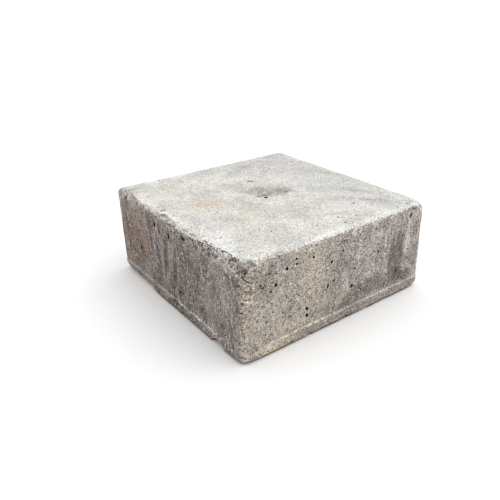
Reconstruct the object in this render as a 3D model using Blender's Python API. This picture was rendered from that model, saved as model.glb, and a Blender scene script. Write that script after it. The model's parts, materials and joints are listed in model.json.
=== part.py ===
"""Column base block: one square block of cast concrete, worn and chipped.

Metres, +Z up. The origin is at the middle of the underside. The corner that is broken
near its top stands at -X, -Y, and the side with the ragged top arris faces -X.
"""

import math
import random
from typing import NamedTuple

import bmesh
import bpy
from mathutils import Vector, noise

# Driving dimensions of the casting
BLOCK_WIDTH = 0.300
BLOCK_DEPTH = 0.300
BLOCK_HEIGHT = 0.125
CORNER_RADIUS = 0.0085
TOP_ARRIS_RADIUS = 0.0085
FOOT_ARRIS_RADIUS = 0.0040

# Two upright corners are uneven: the one at -X, +Y is crisp at its top and rubbed at its foot,
# and the one at +X, -Y is rubbed at its top and crisp at its foot
CRISP_RADIUS = 0.0050
RUBBED_RADIUS = 0.0135

# Strip round the foot, where the rim of the mould was, and the small ledge over it
STRIP_HEIGHT = 0.0165
STRIP_PROUD = 0.0009
LEDGE_HEIGHT = 0.0012

# The walls lean in and swell a little, as a wooden mould leaves them
WALL_LEAN = 0.0006
WALL_SWELL = 0.0004
SWELL_LENGTH = 0.080

# Shallow dish in the middle of the top, with a small blind pit at its bottom
DISH_DIAMETER = 0.064
DISH_DEPTH = 0.0040
DISH_OFFSET_X = -0.002
DISH_OFFSET_Y = -0.003
PIT_DIAMETER = 0.0055
PIT_DEPTH = 0.010

# Wear of the arrises: how far their radii swing, and how long one dent is
TOP_ARRIS_WEAR = 0.0024
FOOT_ARRIS_WEAR = 0.0014
WEAR_LENGTH = 0.022
CORNER_WEAR_REACH = 0.024
FOOT_CORNER_WEAR = 0.0055
TOP_CORNER_WEAR = 0.0050

# The foot's edge is broken back along the far stretch of the -X side
FOOT_BREAK = 0.0085
FOOT_BREAK_START = 0.34
FOOT_BREAK_RAMP = 0.10

# Ragged row of flakes broken off along the top arris of the -X side
FLAKE_COUNT = 17
FLAKE_SPAN = 0.94
FLAKE_WIDTH = 0.0125
FLAKE_LENGTH = 0.026
FLAKE_SWING = 0.45
FLAKE_SHIFT = 0.0030
FLAKE_ROUGHNESS = 0.34
FLAKE_SEED = 11

# Fineness of the faces
SIDE_STEPS = 30
CORNER_STEPS = 6
FOOT_STEPS = 3
WALL_STEPS = 5
ARRIS_STEPS = 5
DISH_SIDES = 40
DISH_STEPS = 5
AIR_HOLE_SIDES = 8
AIR_HOLE_RINGS = 6

# Least radius that a worn corner or arris keeps, and how far a cutter overshoots
LEAST_RADIUS = 0.0015
OVERSHOOT = 0.004

# Edges that turn by more degrees than this stay sharp in the shading
SHARP_ANGLE = 25.0


# Radius of each upright corner at its foot and at its top, counted round from +X, +Y
CORNERS = (
    (CORNER_RADIUS, CORNER_RADIUS),
    (RUBBED_RADIUS, CRISP_RADIUS),
    (CORNER_RADIUS, CORNER_RADIUS),
    (CRISP_RADIUS, RUBBED_RADIUS),
)


class Chip(NamedTuple):
    """A broken spot: its centre as shares of the half width, half depth and height, and its radii."""

    x_share: float
    y_share: float
    z_share: float
    radii: tuple
    roughness: float


class AirHole(NamedTuple):
    """A hole that a trapped bubble left: its side, its place as shares of the side, and its radius."""

    side: str
    along: float
    up: float
    radius: float


# The broken corner at -X, -Y, from its top down, and the other chips of the arrises
CHIPS = (
    Chip(-1.00, -1.00, 1.000, (0.0240, 0.0160, 0.0105), 0.24),
    Chip(-1.00, -0.98, 0.925, (0.0100, 0.0095, 0.0075), 0.24),
    Chip(-1.00, -0.86, 0.985, (0.0085, 0.0120, 0.0085), 0.26),
    Chip(-1.01, -1.01, 0.780, (0.0085, 0.0085, 0.0150), 0.18),
    Chip(-1.00, -0.67, 0.000, (0.0090, 0.0150, 0.0090), 0.24),
    Chip(-1.00, -0.02, 0.105, (0.0032, 0.0110, 0.0060), 0.24),
    Chip(-0.35, -1.00, 0.000, (0.0060, 0.0052, 0.0048), 0.24),
    Chip(0.30, -1.00, 0.000, (0.0075, 0.0052, 0.0045), 0.24),
    Chip(0.80, -1.00, 0.985, (0.0160, 0.0055, 0.0075), 0.20),
    Chip(1.00, -0.20, 1.000, (0.0060, 0.0120, 0.0060), 0.24),
    Chip(1.00, 0.62, 0.000, (0.0060, 0.0100, 0.0065), 0.24),
    Chip(0.45, 1.00, 1.000, (0.0120, 0.0062, 0.0058), 0.24),
    Chip(-0.55, 1.00, 0.000, (0.0090, 0.0062, 0.0060), 0.24),
)

# The larger air holes. The two sides in view have theirs where the real block has them
AIR_HOLES = (
    AirHole("-Y", 0.153, 0.710, 0.0020),
    AirHole("-Y", 0.130, 0.661, 0.0014),
    AirHole("-Y", 0.430, 0.718, 0.0020),
    AirHole("-Y", 0.312, 0.253, 0.0021),
    AirHole("-Y", 0.310, 0.331, 0.0019),
    AirHole("-Y", 0.202, 0.826, 0.0018),
    AirHole("-Y", 0.249, 0.838, 0.0015),
    AirHole("-Y", 0.249, 0.887, 0.0015),
    AirHole("-Y", 0.333, 0.843, 0.0015),
    AirHole("-Y", 0.094, 0.731, 0.0013),
    AirHole("-Y", 0.487, 0.790, 0.0014),
    AirHole("-Y", 0.705, 0.623, 0.0016),
    AirHole("-Y", 0.892, 0.886, 0.0022),
    AirHole("-X", 0.770, 0.773, 0.0020),
    AirHole("-X", 0.631, 0.853, 0.0026),
    AirHole("-X", 0.512, 0.824, 0.0028),
    AirHole("-X", 0.779, 0.457, 0.0024),
    AirHole("-X", 0.437, 0.270, 0.0020),
    AirHole("-X", 0.274, 0.265, 0.0018),
    AirHole("+X", 0.180, 0.640, 0.0022),
    AirHole("+X", 0.370, 0.420, 0.0018),
    AirHole("+X", 0.610, 0.760, 0.0024),
    AirHole("+X", 0.820, 0.350, 0.0017),
    AirHole("+Y", 0.230, 0.520, 0.0020),
    AirHole("+Y", 0.470, 0.790, 0.0023),
    AirHole("+Y", 0.690, 0.310, 0.0018),
    AirHole("+Y", 0.850, 0.690, 0.0017),
)


def clear_scene():
    """Remove the objects that the scene starts with."""
    for existing in list(bpy.data.objects):
        bpy.data.objects.remove(existing, do_unlink=True)


def concrete():
    """Return the material of the casting."""
    material = bpy.data.materials.new("cast_concrete")
    material.use_nodes = True
    shader = material.node_tree.nodes["Principled BSDF"]
    shader.inputs["Base Color"].default_value = (0.42, 0.39, 0.36, 1.0)
    shader.inputs["Roughness"].default_value = 0.92
    shader.inputs["Metallic"].default_value = 0.0
    return material


def ramp(value, start, end):
    """Return how far value is from start to end, eased, between 0 and 1."""
    share = min(max((value - start) / (end - start), 0.0), 1.0)
    return share * share * (3.0 - 2.0 * share)


def swing(place, level, length):
    """Return a smooth uneven value between -1 and 1 for a place on the block."""
    return noise.noise(Vector((place.x, place.y, level)) / length)


def corner_radius(corner, inset, height):
    """Return the radius of an upright corner at a height, where the outline is drawn in by inset."""
    foot, top = CORNERS[corner % 4]
    return max(foot + (top - foot) * height / BLOCK_HEIGHT - inset, LEAST_RADIUS)


def plan_point(step, inset, height):
    """Return one point of the plan outline, which is a rounded rectangle drawn in by inset."""
    side, place = divmod(step, SIDE_STEPS + CORNER_STEPS)
    sizes = (BLOCK_WIDTH, BLOCK_DEPTH)
    facing = math.radians(90.0 * side)
    out = Vector((math.cos(facing), math.sin(facing)))
    along = Vector((-math.sin(facing), math.cos(facing)))
    reach_out = sizes[side % 2] / 2 - inset
    reach_along = sizes[(side + 1) % 2] / 2 - inset
    start = corner_radius(side - 1, inset, height) - reach_along
    radius = corner_radius(side, inset, height)
    end = reach_along - radius
    if place <= SIDE_STEPS:
        return out * reach_out + along * (start + (end - start) * place / SIDE_STEPS)
    turn = math.radians(90.0) * (place - SIDE_STEPS) / CORNER_STEPS
    return out * (reach_out - radius + radius * math.cos(turn)) + along * (end + radius * math.sin(turn))


def corner_share(place):
    """Return how near a place of the outline is to an upright corner: 1 at it, 0 past its wear's reach."""
    gap = Vector((BLOCK_WIDTH / 2 - abs(place.x), BLOCK_DEPTH / 2 - abs(place.y))).length
    return 1.0 - ramp(gap, 0.0, CORNER_WEAR_REACH)


def foot_radius(place):
    """Return the radius of the foot's arris at a place of the outline."""
    radius = FOOT_ARRIS_RADIUS + FOOT_ARRIS_WEAR * swing(place, 0.0, WEAR_LENGTH)
    radius += FOOT_CORNER_WEAR * corner_share(place)
    along = ramp(place.y / (BLOCK_DEPTH / 2), FOOT_BREAK_START, FOOT_BREAK_START + FOOT_BREAK_RAMP)
    round_corner = ramp(place.x + BLOCK_WIDTH / 2, 0.0, CORNER_WEAR_REACH)
    radius += FOOT_BREAK * along * (1.0 - round_corner)
    return min(max(radius, LEAST_RADIUS), STRIP_HEIGHT - 2.0 * LEDGE_HEIGHT)


def top_radius(place):
    """Return the radius of the top arris at a place of the outline."""
    radius = TOP_ARRIS_RADIUS + TOP_ARRIS_WEAR * swing(place, BLOCK_HEIGHT, WEAR_LENGTH)
    if place.x > 0.0 > place.y:
        radius += TOP_CORNER_WEAR * corner_share(place)
    return min(max(radius, LEAST_RADIUS), (BLOCK_HEIGHT - STRIP_HEIGHT) / 2)


def profile(place):
    """Return the upright profile at a place of the outline, from the underside to the top.

    Each entry is how far the surface is drawn in from the foot strip's face, and its height.
    """
    foot = foot_radius(place)
    top = top_radius(place)
    entries = []
    for step in range(FOOT_STEPS + 1):
        turn = math.radians(90.0) * step / FOOT_STEPS
        entries.append((foot * (1.0 - math.sin(turn)), foot * (1.0 - math.cos(turn))))
    entries.append((0.0, STRIP_HEIGHT - LEDGE_HEIGHT))
    wall_end = BLOCK_HEIGHT - top
    for step in range(WALL_STEPS):
        share = step / WALL_STEPS
        height = STRIP_HEIGHT + (wall_end - STRIP_HEIGHT) * share
        swell = WALL_SWELL * swing(place, height, SWELL_LENGTH)
        entries.append((STRIP_PROUD + WALL_LEAN * share + swell, height))
    for step in range(ARRIS_STEPS + 1):
        turn = math.radians(90.0) * step / ARRIS_STEPS
        inset = STRIP_PROUD + WALL_LEAN + top * (1.0 - math.cos(turn))
        entries.append((inset, wall_end + top * math.sin(turn)))
    return entries


def mesh_object(name, builder):
    """Turn a bmesh into a named object of the scene, with its faces pointing out."""
    bmesh.ops.recalc_face_normals(builder, faces=builder.faces)
    mesh = bpy.data.meshes.new(name)
    builder.to_mesh(mesh)
    builder.free()
    made = bpy.data.objects.new(name, mesh)
    bpy.context.scene.collection.objects.link(made)
    return made


def block():
    """Make the body of the casting: rings of the worn outline, joined upwards and closed flat."""
    builder = bmesh.new()
    steps = 4 * (SIDE_STEPS + CORNER_STEPS)
    columns = []
    for step in range(steps):
        entries = profile(plan_point(step, 0.0, 0.0))
        columns.append([builder.verts.new((*plan_point(step, *entry), entry[1])) for entry in entries])
    for step in range(steps):
        here = columns[step]
        following = columns[(step + 1) % steps]
        for level in range(len(here) - 1):
            builder.faces.new((here[level], following[level], following[level + 1], here[level + 1]))
    builder.faces.new([column[0] for column in columns])
    builder.faces.new([column[-1] for column in columns])
    return mesh_object("concrete_block", builder)


def cutter(name, builder, group):
    """Make a cutting body, which belongs to a group that is taken away from the block."""
    made = mesh_object(name, builder)
    bpy.context.scene.collection.objects.unlink(made)
    group.objects.link(made)
    made.hide_render = True
    made.display_type = "WIRE"
    return made


def dish_cutter(group):
    """Make the turned body of the dish and its pit, from a profile of half a section."""
    dish_radius = DISH_DIAMETER / 2
    pit_radius = PIT_DIAMETER / 2
    cap_radius = (dish_radius ** 2 + DISH_DEPTH ** 2) / (2.0 * DISH_DEPTH)

    def dish_floor(radius):
        return cap_radius - DISH_DEPTH - math.sqrt(cap_radius ** 2 - radius ** 2)

    pit_floor = -DISH_DEPTH - PIT_DEPTH
    section = [(0.0, pit_floor), (pit_radius * 0.7, pit_floor + pit_radius * 0.5)]
    for step in range(DISH_STEPS):
        radius = pit_radius + (dish_radius - pit_radius) * step / DISH_STEPS
        section.append((radius, dish_floor(radius)))
    section.append((dish_radius, 0.0))
    section.append((dish_radius + OVERSHOOT, OVERSHOOT))
    section.append((0.0, OVERSHOOT))
    builder = bmesh.new()
    centre = Vector((DISH_OFFSET_X, DISH_OFFSET_Y, BLOCK_HEIGHT))
    corners = [builder.verts.new(centre + Vector((radius, 0.0, depth))) for radius, depth in section]
    edges = [builder.edges.new(pair) for pair in zip(corners, corners[1:])]
    bmesh.ops.spin(
        builder, geom=corners + edges, cent=centre, axis=(0.0, 0.0, 1.0),
        angle=math.radians(360.0), steps=DISH_SIDES, use_merge=True,
    )
    bmesh.ops.remove_doubles(builder, verts=builder.verts, dist=0.00002)
    return cutter("dish_cutter", builder, group)


def lump(centre, radii, roughness, fineness):
    """Return a bmesh of one rough lump, as the broken faces of concrete are."""
    builder = bmesh.new()
    bmesh.ops.create_icosphere(builder, subdivisions=fineness, radius=1.0)
    for vertex in builder.verts:
        length = 1.0 + roughness * noise.noise(vertex.co * 1.9 + centre * 100.0)
        vertex.co = centre + Vector([length * part * radius for part, radius in zip(vertex.co, radii)])
    return builder


def chip_cutters(group):
    """Make the cutting bodies of the single chips and of the row of flakes along the -X top arris."""
    for number, chip in enumerate(CHIPS):
        centre = Vector((
            chip.x_share * BLOCK_WIDTH / 2,
            chip.y_share * BLOCK_DEPTH / 2,
            chip.z_share * BLOCK_HEIGHT,
        ))
        cutter(f"chip_cutter_{number:02d}", lump(centre, chip.radii, chip.roughness, 2), group)
    draw = random.Random(FLAKE_SEED)
    for number in range(FLAKE_COUNT):
        share = FLAKE_SPAN * (2.0 * number / (FLAKE_COUNT - 1) - 1.0)
        shift = [draw.uniform(-FLAKE_SHIFT, FLAKE_SHIFT) for _ in range(3)]
        centre = Vector((-BLOCK_WIDTH / 2, share * BLOCK_DEPTH / 2, BLOCK_HEIGHT)) + Vector(shift)
        sizes = [1.0 + draw.uniform(-FLAKE_SWING, FLAKE_SWING) for _ in range(3)]
        halves = (FLAKE_WIDTH / 2, FLAKE_LENGTH / 2, FLAKE_WIDTH / 2)
        radii = [size * half for size, half in zip(sizes, halves)]
        cutter(f"flake_cutter_{number:02d}", lump(centre, radii, FLAKE_ROUGHNESS, 2), group)


def air_hole_centre(hole):
    """Return where an air hole sits on its side, on the face of the wall."""
    half = Vector((BLOCK_WIDTH / 2, BLOCK_DEPTH / 2))
    share = hole.up - STRIP_HEIGHT / BLOCK_HEIGHT
    inset = STRIP_PROUD + WALL_LEAN * share
    sign = -1.0 if hole.side[0] == "-" else 1.0
    height = hole.up * BLOCK_HEIGHT
    if hole.side[1] == "X":
        return Vector((sign * (half.x - inset), (2.0 * hole.along - 1.0) * half.y, height))
    return Vector(((2.0 * hole.along - 1.0) * half.x, sign * (half.y - inset), height))


def air_hole_cutters(group):
    """Make the cutting bodies of the air holes, each a small ball half sunk in its wall."""
    for number, hole in enumerate(AIR_HOLES):
        builder = bmesh.new()
        bmesh.ops.create_uvsphere(
            builder, u_segments=AIR_HOLE_SIDES, v_segments=AIR_HOLE_RINGS, radius=hole.radius,
        )
        bmesh.ops.translate(builder, verts=builder.verts, vec=air_hole_centre(hole))
        cutter(f"air_hole_cutter_{number:02d}", builder, group)


def cut(body, name, make_cutters):
    """Take a group of cutting bodies away from the block."""
    group = bpy.data.collections.new(name)
    bpy.context.scene.collection.children.link(group)
    make_cutters(group)
    taking = body.modifiers.new(name, "BOOLEAN")
    taking.operation = "DIFFERENCE"
    taking.operand_type = "COLLECTION"
    taking.collection = group
    taking.solver = "EXACT"


def main():
    """Model the block and cut its dish, its chips and its air holes."""
    clear_scene()
    body = block()
    body.data.materials.append(concrete())
    body.data.shade_smooth()
    body.data.set_sharp_from_angle(angle=math.radians(SHARP_ANGLE))
    cut(body, "dish", dish_cutter)
    cut(body, "chips", chip_cutters)
    cut(body, "air_holes", air_hole_cutters)


main()
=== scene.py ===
"""Looks of a weathered column base block of cast concrete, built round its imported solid.

The block is one casting, so one finely meshed piece stands for its solid. That piece starts as a
copy of the solid. It is flaked along its ragged arris, meshed evenly, roughened side by side as
the real faces are and thinned to its budget. Then its bared pebbles are set, and its air holes and
cracks are cut.

Lengths are in metres, +Z up. Pixels are those of the photograph's frame, 500 by 500.
"""

import json
import logging
import math
import random
from dataclasses import dataclass
from enum import Enum

import bpy
import numpy as np
from mathutils import Matrix, Vector

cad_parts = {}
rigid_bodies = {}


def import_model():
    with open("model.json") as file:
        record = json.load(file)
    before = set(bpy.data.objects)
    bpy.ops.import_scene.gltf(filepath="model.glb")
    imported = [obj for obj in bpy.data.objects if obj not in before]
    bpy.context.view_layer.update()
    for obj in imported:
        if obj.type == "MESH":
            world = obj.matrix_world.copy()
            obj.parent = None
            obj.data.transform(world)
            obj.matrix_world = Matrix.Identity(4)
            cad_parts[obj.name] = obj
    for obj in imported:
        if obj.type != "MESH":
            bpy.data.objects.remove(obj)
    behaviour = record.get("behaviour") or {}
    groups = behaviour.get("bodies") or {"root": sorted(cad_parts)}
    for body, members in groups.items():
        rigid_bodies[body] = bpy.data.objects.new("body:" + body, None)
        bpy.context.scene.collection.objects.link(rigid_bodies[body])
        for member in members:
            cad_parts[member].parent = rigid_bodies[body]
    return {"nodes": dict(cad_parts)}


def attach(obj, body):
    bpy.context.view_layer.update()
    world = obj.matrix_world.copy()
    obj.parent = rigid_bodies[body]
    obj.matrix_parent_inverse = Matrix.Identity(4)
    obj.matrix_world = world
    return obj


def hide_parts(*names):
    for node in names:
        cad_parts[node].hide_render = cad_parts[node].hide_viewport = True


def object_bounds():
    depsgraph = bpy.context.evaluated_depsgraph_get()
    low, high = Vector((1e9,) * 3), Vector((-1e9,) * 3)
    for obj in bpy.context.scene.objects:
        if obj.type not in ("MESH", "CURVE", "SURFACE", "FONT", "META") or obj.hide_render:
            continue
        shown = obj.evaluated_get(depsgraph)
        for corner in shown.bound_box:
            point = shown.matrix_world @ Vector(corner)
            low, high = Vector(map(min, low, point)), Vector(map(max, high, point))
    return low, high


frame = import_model()
cad_low, cad_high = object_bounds()

log = logging.getLogger("column_base_block")

SOLID_NODE = "concrete_block"
HOLLOW_MASK = "hollow"
MM = 0.001


class Side(Enum):
    """A side of the block: the way it faces, and the way that places along it are counted."""

    LEFT = ((-1.0, 0.0, 0.0), (0.0, 1.0, 0.0))
    FRONT = ((0.0, -1.0, 0.0), (1.0, 0.0, 0.0))
    RIGHT = ((1.0, 0.0, 0.0), (0.0, 1.0, 0.0))
    BACK = ((0.0, 1.0, 0.0), (1.0, 0.0, 0.0))
    TOP = ((0.0, 0.0, 1.0), (1.0, 0.0, 0.0))

    @property
    def outward(self) -> Vector:
        """Return the way the side faces."""
        return Vector(self.value[0])

    @property
    def across(self) -> Vector:
        """Return the level way along the side."""
        return Vector(self.value[1])

    @property
    def upward(self) -> Vector:
        """Return the way up the side, or to the back on the top."""
        return Vector((0.0, 1.0, 0.0)) if self is Side.TOP else Vector((0.0, 0.0, 1.0))


class Relief(Enum):
    """A kind of texture that roughens a face."""

    CLOUDS = "CLOUDS"
    CELLS = "VORONOI"


@dataclass(frozen=True)
class BlockForm:
    """The block's own sizes, read from its solid, and those that its faces follow.

    Attributes:
        low: Lowest corner of the solid.
        high: Highest corner of the solid.
        wall_inset: How far the walls stand in from the foot strip.
        strip_height: Height of the strip round the foot.
        dish_middle: Where the dish in the top is deepest, as seen from above.
        dish_depth: How far the dish is sunk.
        pit_radius: Radius of the blind pit in the dish.
    """

    low: Vector
    high: Vector
    wall_inset: float = 1.2 * MM
    strip_height: float = 16.5 * MM
    dish_middle: tuple[float, float] = (-2.0 * MM, -3.0 * MM)
    dish_depth: float = 4.0 * MM
    pit_radius: float = 2.75 * MM

    @property
    def height(self) -> float:
        """Return how high the block is."""
        return self.high.z - self.low.z

    def wall_middle(self, side: Side) -> Vector:
        """Return the middle of a side's wall, or of the top.

        Args:
            side: The side that is asked for.

        Returns:
            The middle.
        """
        middle = (self.low + self.high) / 2
        reach = (self.high - self.low) / 2
        inset = 0.0 if side is Side.TOP else self.wall_inset
        return middle + side.outward * (abs(side.outward.dot(reach)) - inset)


@dataclass(frozen=True)
class PhotoView:
    """The photograph's view.

    Attributes:
        place: Where its camera stood.
        heading_degrees: How far it was turned from +Y towards +X.
        pitch_degrees: How far it looked down.
        roll_degrees: How far it was tilted.
        focal_pixels: Length of its lens, in pixels of the frame.
        frame_pixels: Side of the frame.
        sensor: Width of the sensor that stands for the frame, in millimetres.
        clip: Nearest and farthest distance that it shows.
    """

    place: tuple[float, float, float] = (-0.41397, -0.51919, 0.36991)
    heading_degrees: float = 36.668
    pitch_degrees: float = 26.405
    roll_degrees: float = -0.435
    focal_pixels: float = 522.81
    frame_pixels: float = 500.0
    sensor: float = 36.0
    clip: tuple[float, float] = (10 * MM, 200.0)

    def turn(self) -> Matrix:
        """Return how the camera is turned from one that looks straight down."""
        heading = Matrix.Rotation(math.radians(-self.heading_degrees), 3, "Z")
        pitch = Matrix.Rotation(math.radians(90.0 - self.pitch_degrees), 3, "X")
        roll = Matrix.Rotation(math.radians(self.roll_degrees), 3, "Z")
        return heading @ pitch @ roll

    def ray(self, pixel: tuple[float, float]) -> tuple[Vector, Vector]:
        """Return where the camera stands, and the way from it to what a pixel shows."""
        half = self.frame_pixels / 2
        toward = self.turn() @ Vector((pixel[0] - half, half - pixel[1], -self.focal_pixels))
        return Vector(self.place), toward.normalized()

    def on_side(self, pixel: tuple[float, float], side: Side, form: BlockForm) -> Vector:
        """Return the place on a side of the block that a pixel of the photograph shows.

        Args:
            pixel: Place in the photograph's frame, counted from its upper left corner.
            side: Side that the pixel shows.
            form: Sizes of the block.

        Returns:
            The place on that side's plane.
        """
        start, ray = self.ray(pixel)
        gap = (form.wall_middle(side) - start).dot(side.outward)
        return start + ray * (gap / ray.dot(side.outward))

    def set_up(self) -> None:
        """Add the camera and make it the scene's own."""
        bpy.ops.object.camera_add(location=self.place, rotation=self.turn().to_euler())
        camera = bpy.context.object
        camera.name = "photo_view"
        camera.data.sensor_fit = "HORIZONTAL"
        camera.data.sensor_width = self.sensor
        camera.data.lens = self.sensor * self.focal_pixels / self.frame_pixels
        camera.data.clip_start, camera.data.clip_end = self.clip
        bpy.context.scene.camera = camera


@dataclass(frozen=True)
class AirHole:
    """A hole that a trapped bubble left, where the photograph shows it.

    Attributes:
        side: Side that the hole is in.
        pixel: Middle of the hole in the photograph's frame.
        radius: Its radius along the side.
        stretch: How many times longer than wide it is.
        lean: Degrees that its length leans from upright.
    """

    side: Side
    pixel: tuple[float, float]
    radius: float
    stretch: float = 1.0
    lean: float = 0.0

    @classmethod
    def rows(cls, side: Side, *rows: tuple[float, ...]) -> tuple["AirHole", ...]:
        """Return one side's holes, each from its pixel, its radius in millimetres and the rest."""
        return tuple(cls(side, (x, y), radius * MM, *rest) for x, y, radius, *rest in rows)


@dataclass(frozen=True)
class HiddenHole:
    """An air hole on a side that the photograph doesn't show, by shares along it and up it."""

    side: Side
    along: float
    up: float
    radius: float


@dataclass(frozen=True)
class Slit:
    """A narrow crack between two places of the photograph's frame.

    Attributes:
        start: Pixel of its one end.
        end: Pixel of its other end.
        width: Its width in the middle.
        depth: How deep it goes.
    """

    start: tuple[float, float]
    end: tuple[float, float]
    width: float
    depth: float = 1.6 * MM

    @classmethod
    def rows(cls, *rows: tuple[float, ...]) -> tuple["Slit", ...]:
        """Return cracks, each from the pixels of its ends and its sizes in millimetres."""
        return tuple(cls((a, b), (c, d), *(size * MM for size in sizes)) for a, b, c, d, *sizes in rows)


@dataclass(frozen=True)
class Scar:
    """A rough hollow that broke out of an edge, where the photograph shows it.

    Attributes:
        pixel: Its middle in the photograph's frame.
        reach: Half its size along the surface, into it and up it.
        lean: Degrees that it is turned on the surface.
    """

    pixel: tuple[float, float]
    reach: tuple[float, float, float]
    lean: float

    @classmethod
    def rows(cls, *rows: tuple[float, ...]) -> tuple["Scar", ...]:
        """Return scars, each from its pixel, its reach in millimetres and its lean."""
        return tuple(cls((x, y), tuple(half * MM for half in reach), lean) for x, y, *reach, lean in rows)


@dataclass(frozen=True)
class Pebble:
    """A pebble of the concrete's gravel that stands bare in the broken corner.

    Attributes:
        pixel: Its middle in the photograph's frame.
        radius: Its radius.
        sunk: How far its middle lies under the surface.
    """

    pixel: tuple[float, float]
    radius: float
    sunk: float


@dataclass(frozen=True)
class FlakeZone:
    """A stretch of the ragged arris from which small flakes are broken.

    Attributes:
        start: Where it starts along the left side.
        end: Where it ends.
        count: How many flakes there are.
        reach: Least and greatest half size of one flake.
        drop: How far below the top they typically lie.
    """

    start: float
    end: float
    count: int
    reach: tuple[float, float]
    drop: float


@dataclass(frozen=True)
class Breakage:
    """How the broken places and the bared pebbles are shaped.

    Attributes:
        scar_jag: How far the points of a scar are moved.
        flake_jag: The same for a flake.
        flake_depths: Least and greatest depth of a flake's middle, in millimetres.
        flake_stretch: How many times longer a flake is along the edge.
        flake_turn: Greatest turn of a flake, in radians.
        bed_jag: How far the points of a pebble's bed are moved.
        bed_room: How much wider the bed is than its pebble.
        bed_depth: How deep the bed is.
        pebble_shape: Half size of a pebble each way, as shares of its radius.
        pebble_jag: How far its points are moved, as a share of its radius.
        ball_levels: How often the faces of a ball are divided.
        ball_evenness: Share of a point's move that is straight in or out.
    """

    scar_jag: float = 0.9 * MM
    flake_jag: float = 1.0 * MM
    flake_depths: tuple[float, float] = (0.4, 2.6)
    flake_stretch: float = 2.2
    flake_turn: float = 0.5
    bed_jag: float = 0.4 * MM
    bed_room: float = 1.1 * MM
    bed_depth: float = 2.0 * MM
    pebble_shape: tuple[float, float, float] = (1.15, 1.0, 0.9)
    pebble_jag: float = 0.08
    ball_levels: int = 2
    ball_evenness: float = 0.6


class Fade(Enum):
    """Areas of the block: where each has faded to nothing and where it counts in full, in metres."""

    OFF_FLOOR = (0.2 * MM, 3.0 * MM)
    SKIN = (5 * MM, 2 * MM)
    BELOW_TOP = (2 * MM, 8 * MM)
    NEAR_CORNER = (-40 * MM, -100 * MM)
    FAR_CORNER = (60 * MM, 110 * MM)
    ARRIS = (14 * MM, 6 * MM)
    CORNER = (20 * MM, 9 * MM)
    CORNER_EDGE = (11 * MM, 5 * MM)

    def of(self, values: np.ndarray) -> np.ndarray:
        """Return how far values lie into the area, eased, between 0 and 1."""
        start, end = self.value
        share = np.clip((values - start) / (end - start), 0.0, 1.0)
        return share * share * (3.0 - 2.0 * share)


# Roughness beside that of the broken corner, which counts in full
FAR_SHARE = 0.5
ARRIS_LEAST = 0.25
ARRIS_MORE = 0.45
CORNER_EDGE_SHARE = 0.32
CORNER_DROP = 0.35

# How the holes are cut: the pit's clearance and its length, and the depth of an air hole by its radius
PIT_CLEARANCE = 0.15 * MM
PIT_STRETCH = 3.0
HOLE_DEPTH = 1.25


@dataclass(frozen=True)
class Roughening:
    """One layer of roughness on the block's faces.

    Attributes:
        name: What the layer is.
        where: Name of the vertex group that carries it.
        relief: Kind of texture.
        grain: Size of its features.
        swing: How far it moves the face from trough to crest.
        depth: How many finer layers the texture has.
        upright: How many times longer its features are upwards than along.
    """

    name: str
    where: str
    relief: Relief
    grain: float
    swing: float
    depth: int = 2
    upright: float = 1.0


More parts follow.
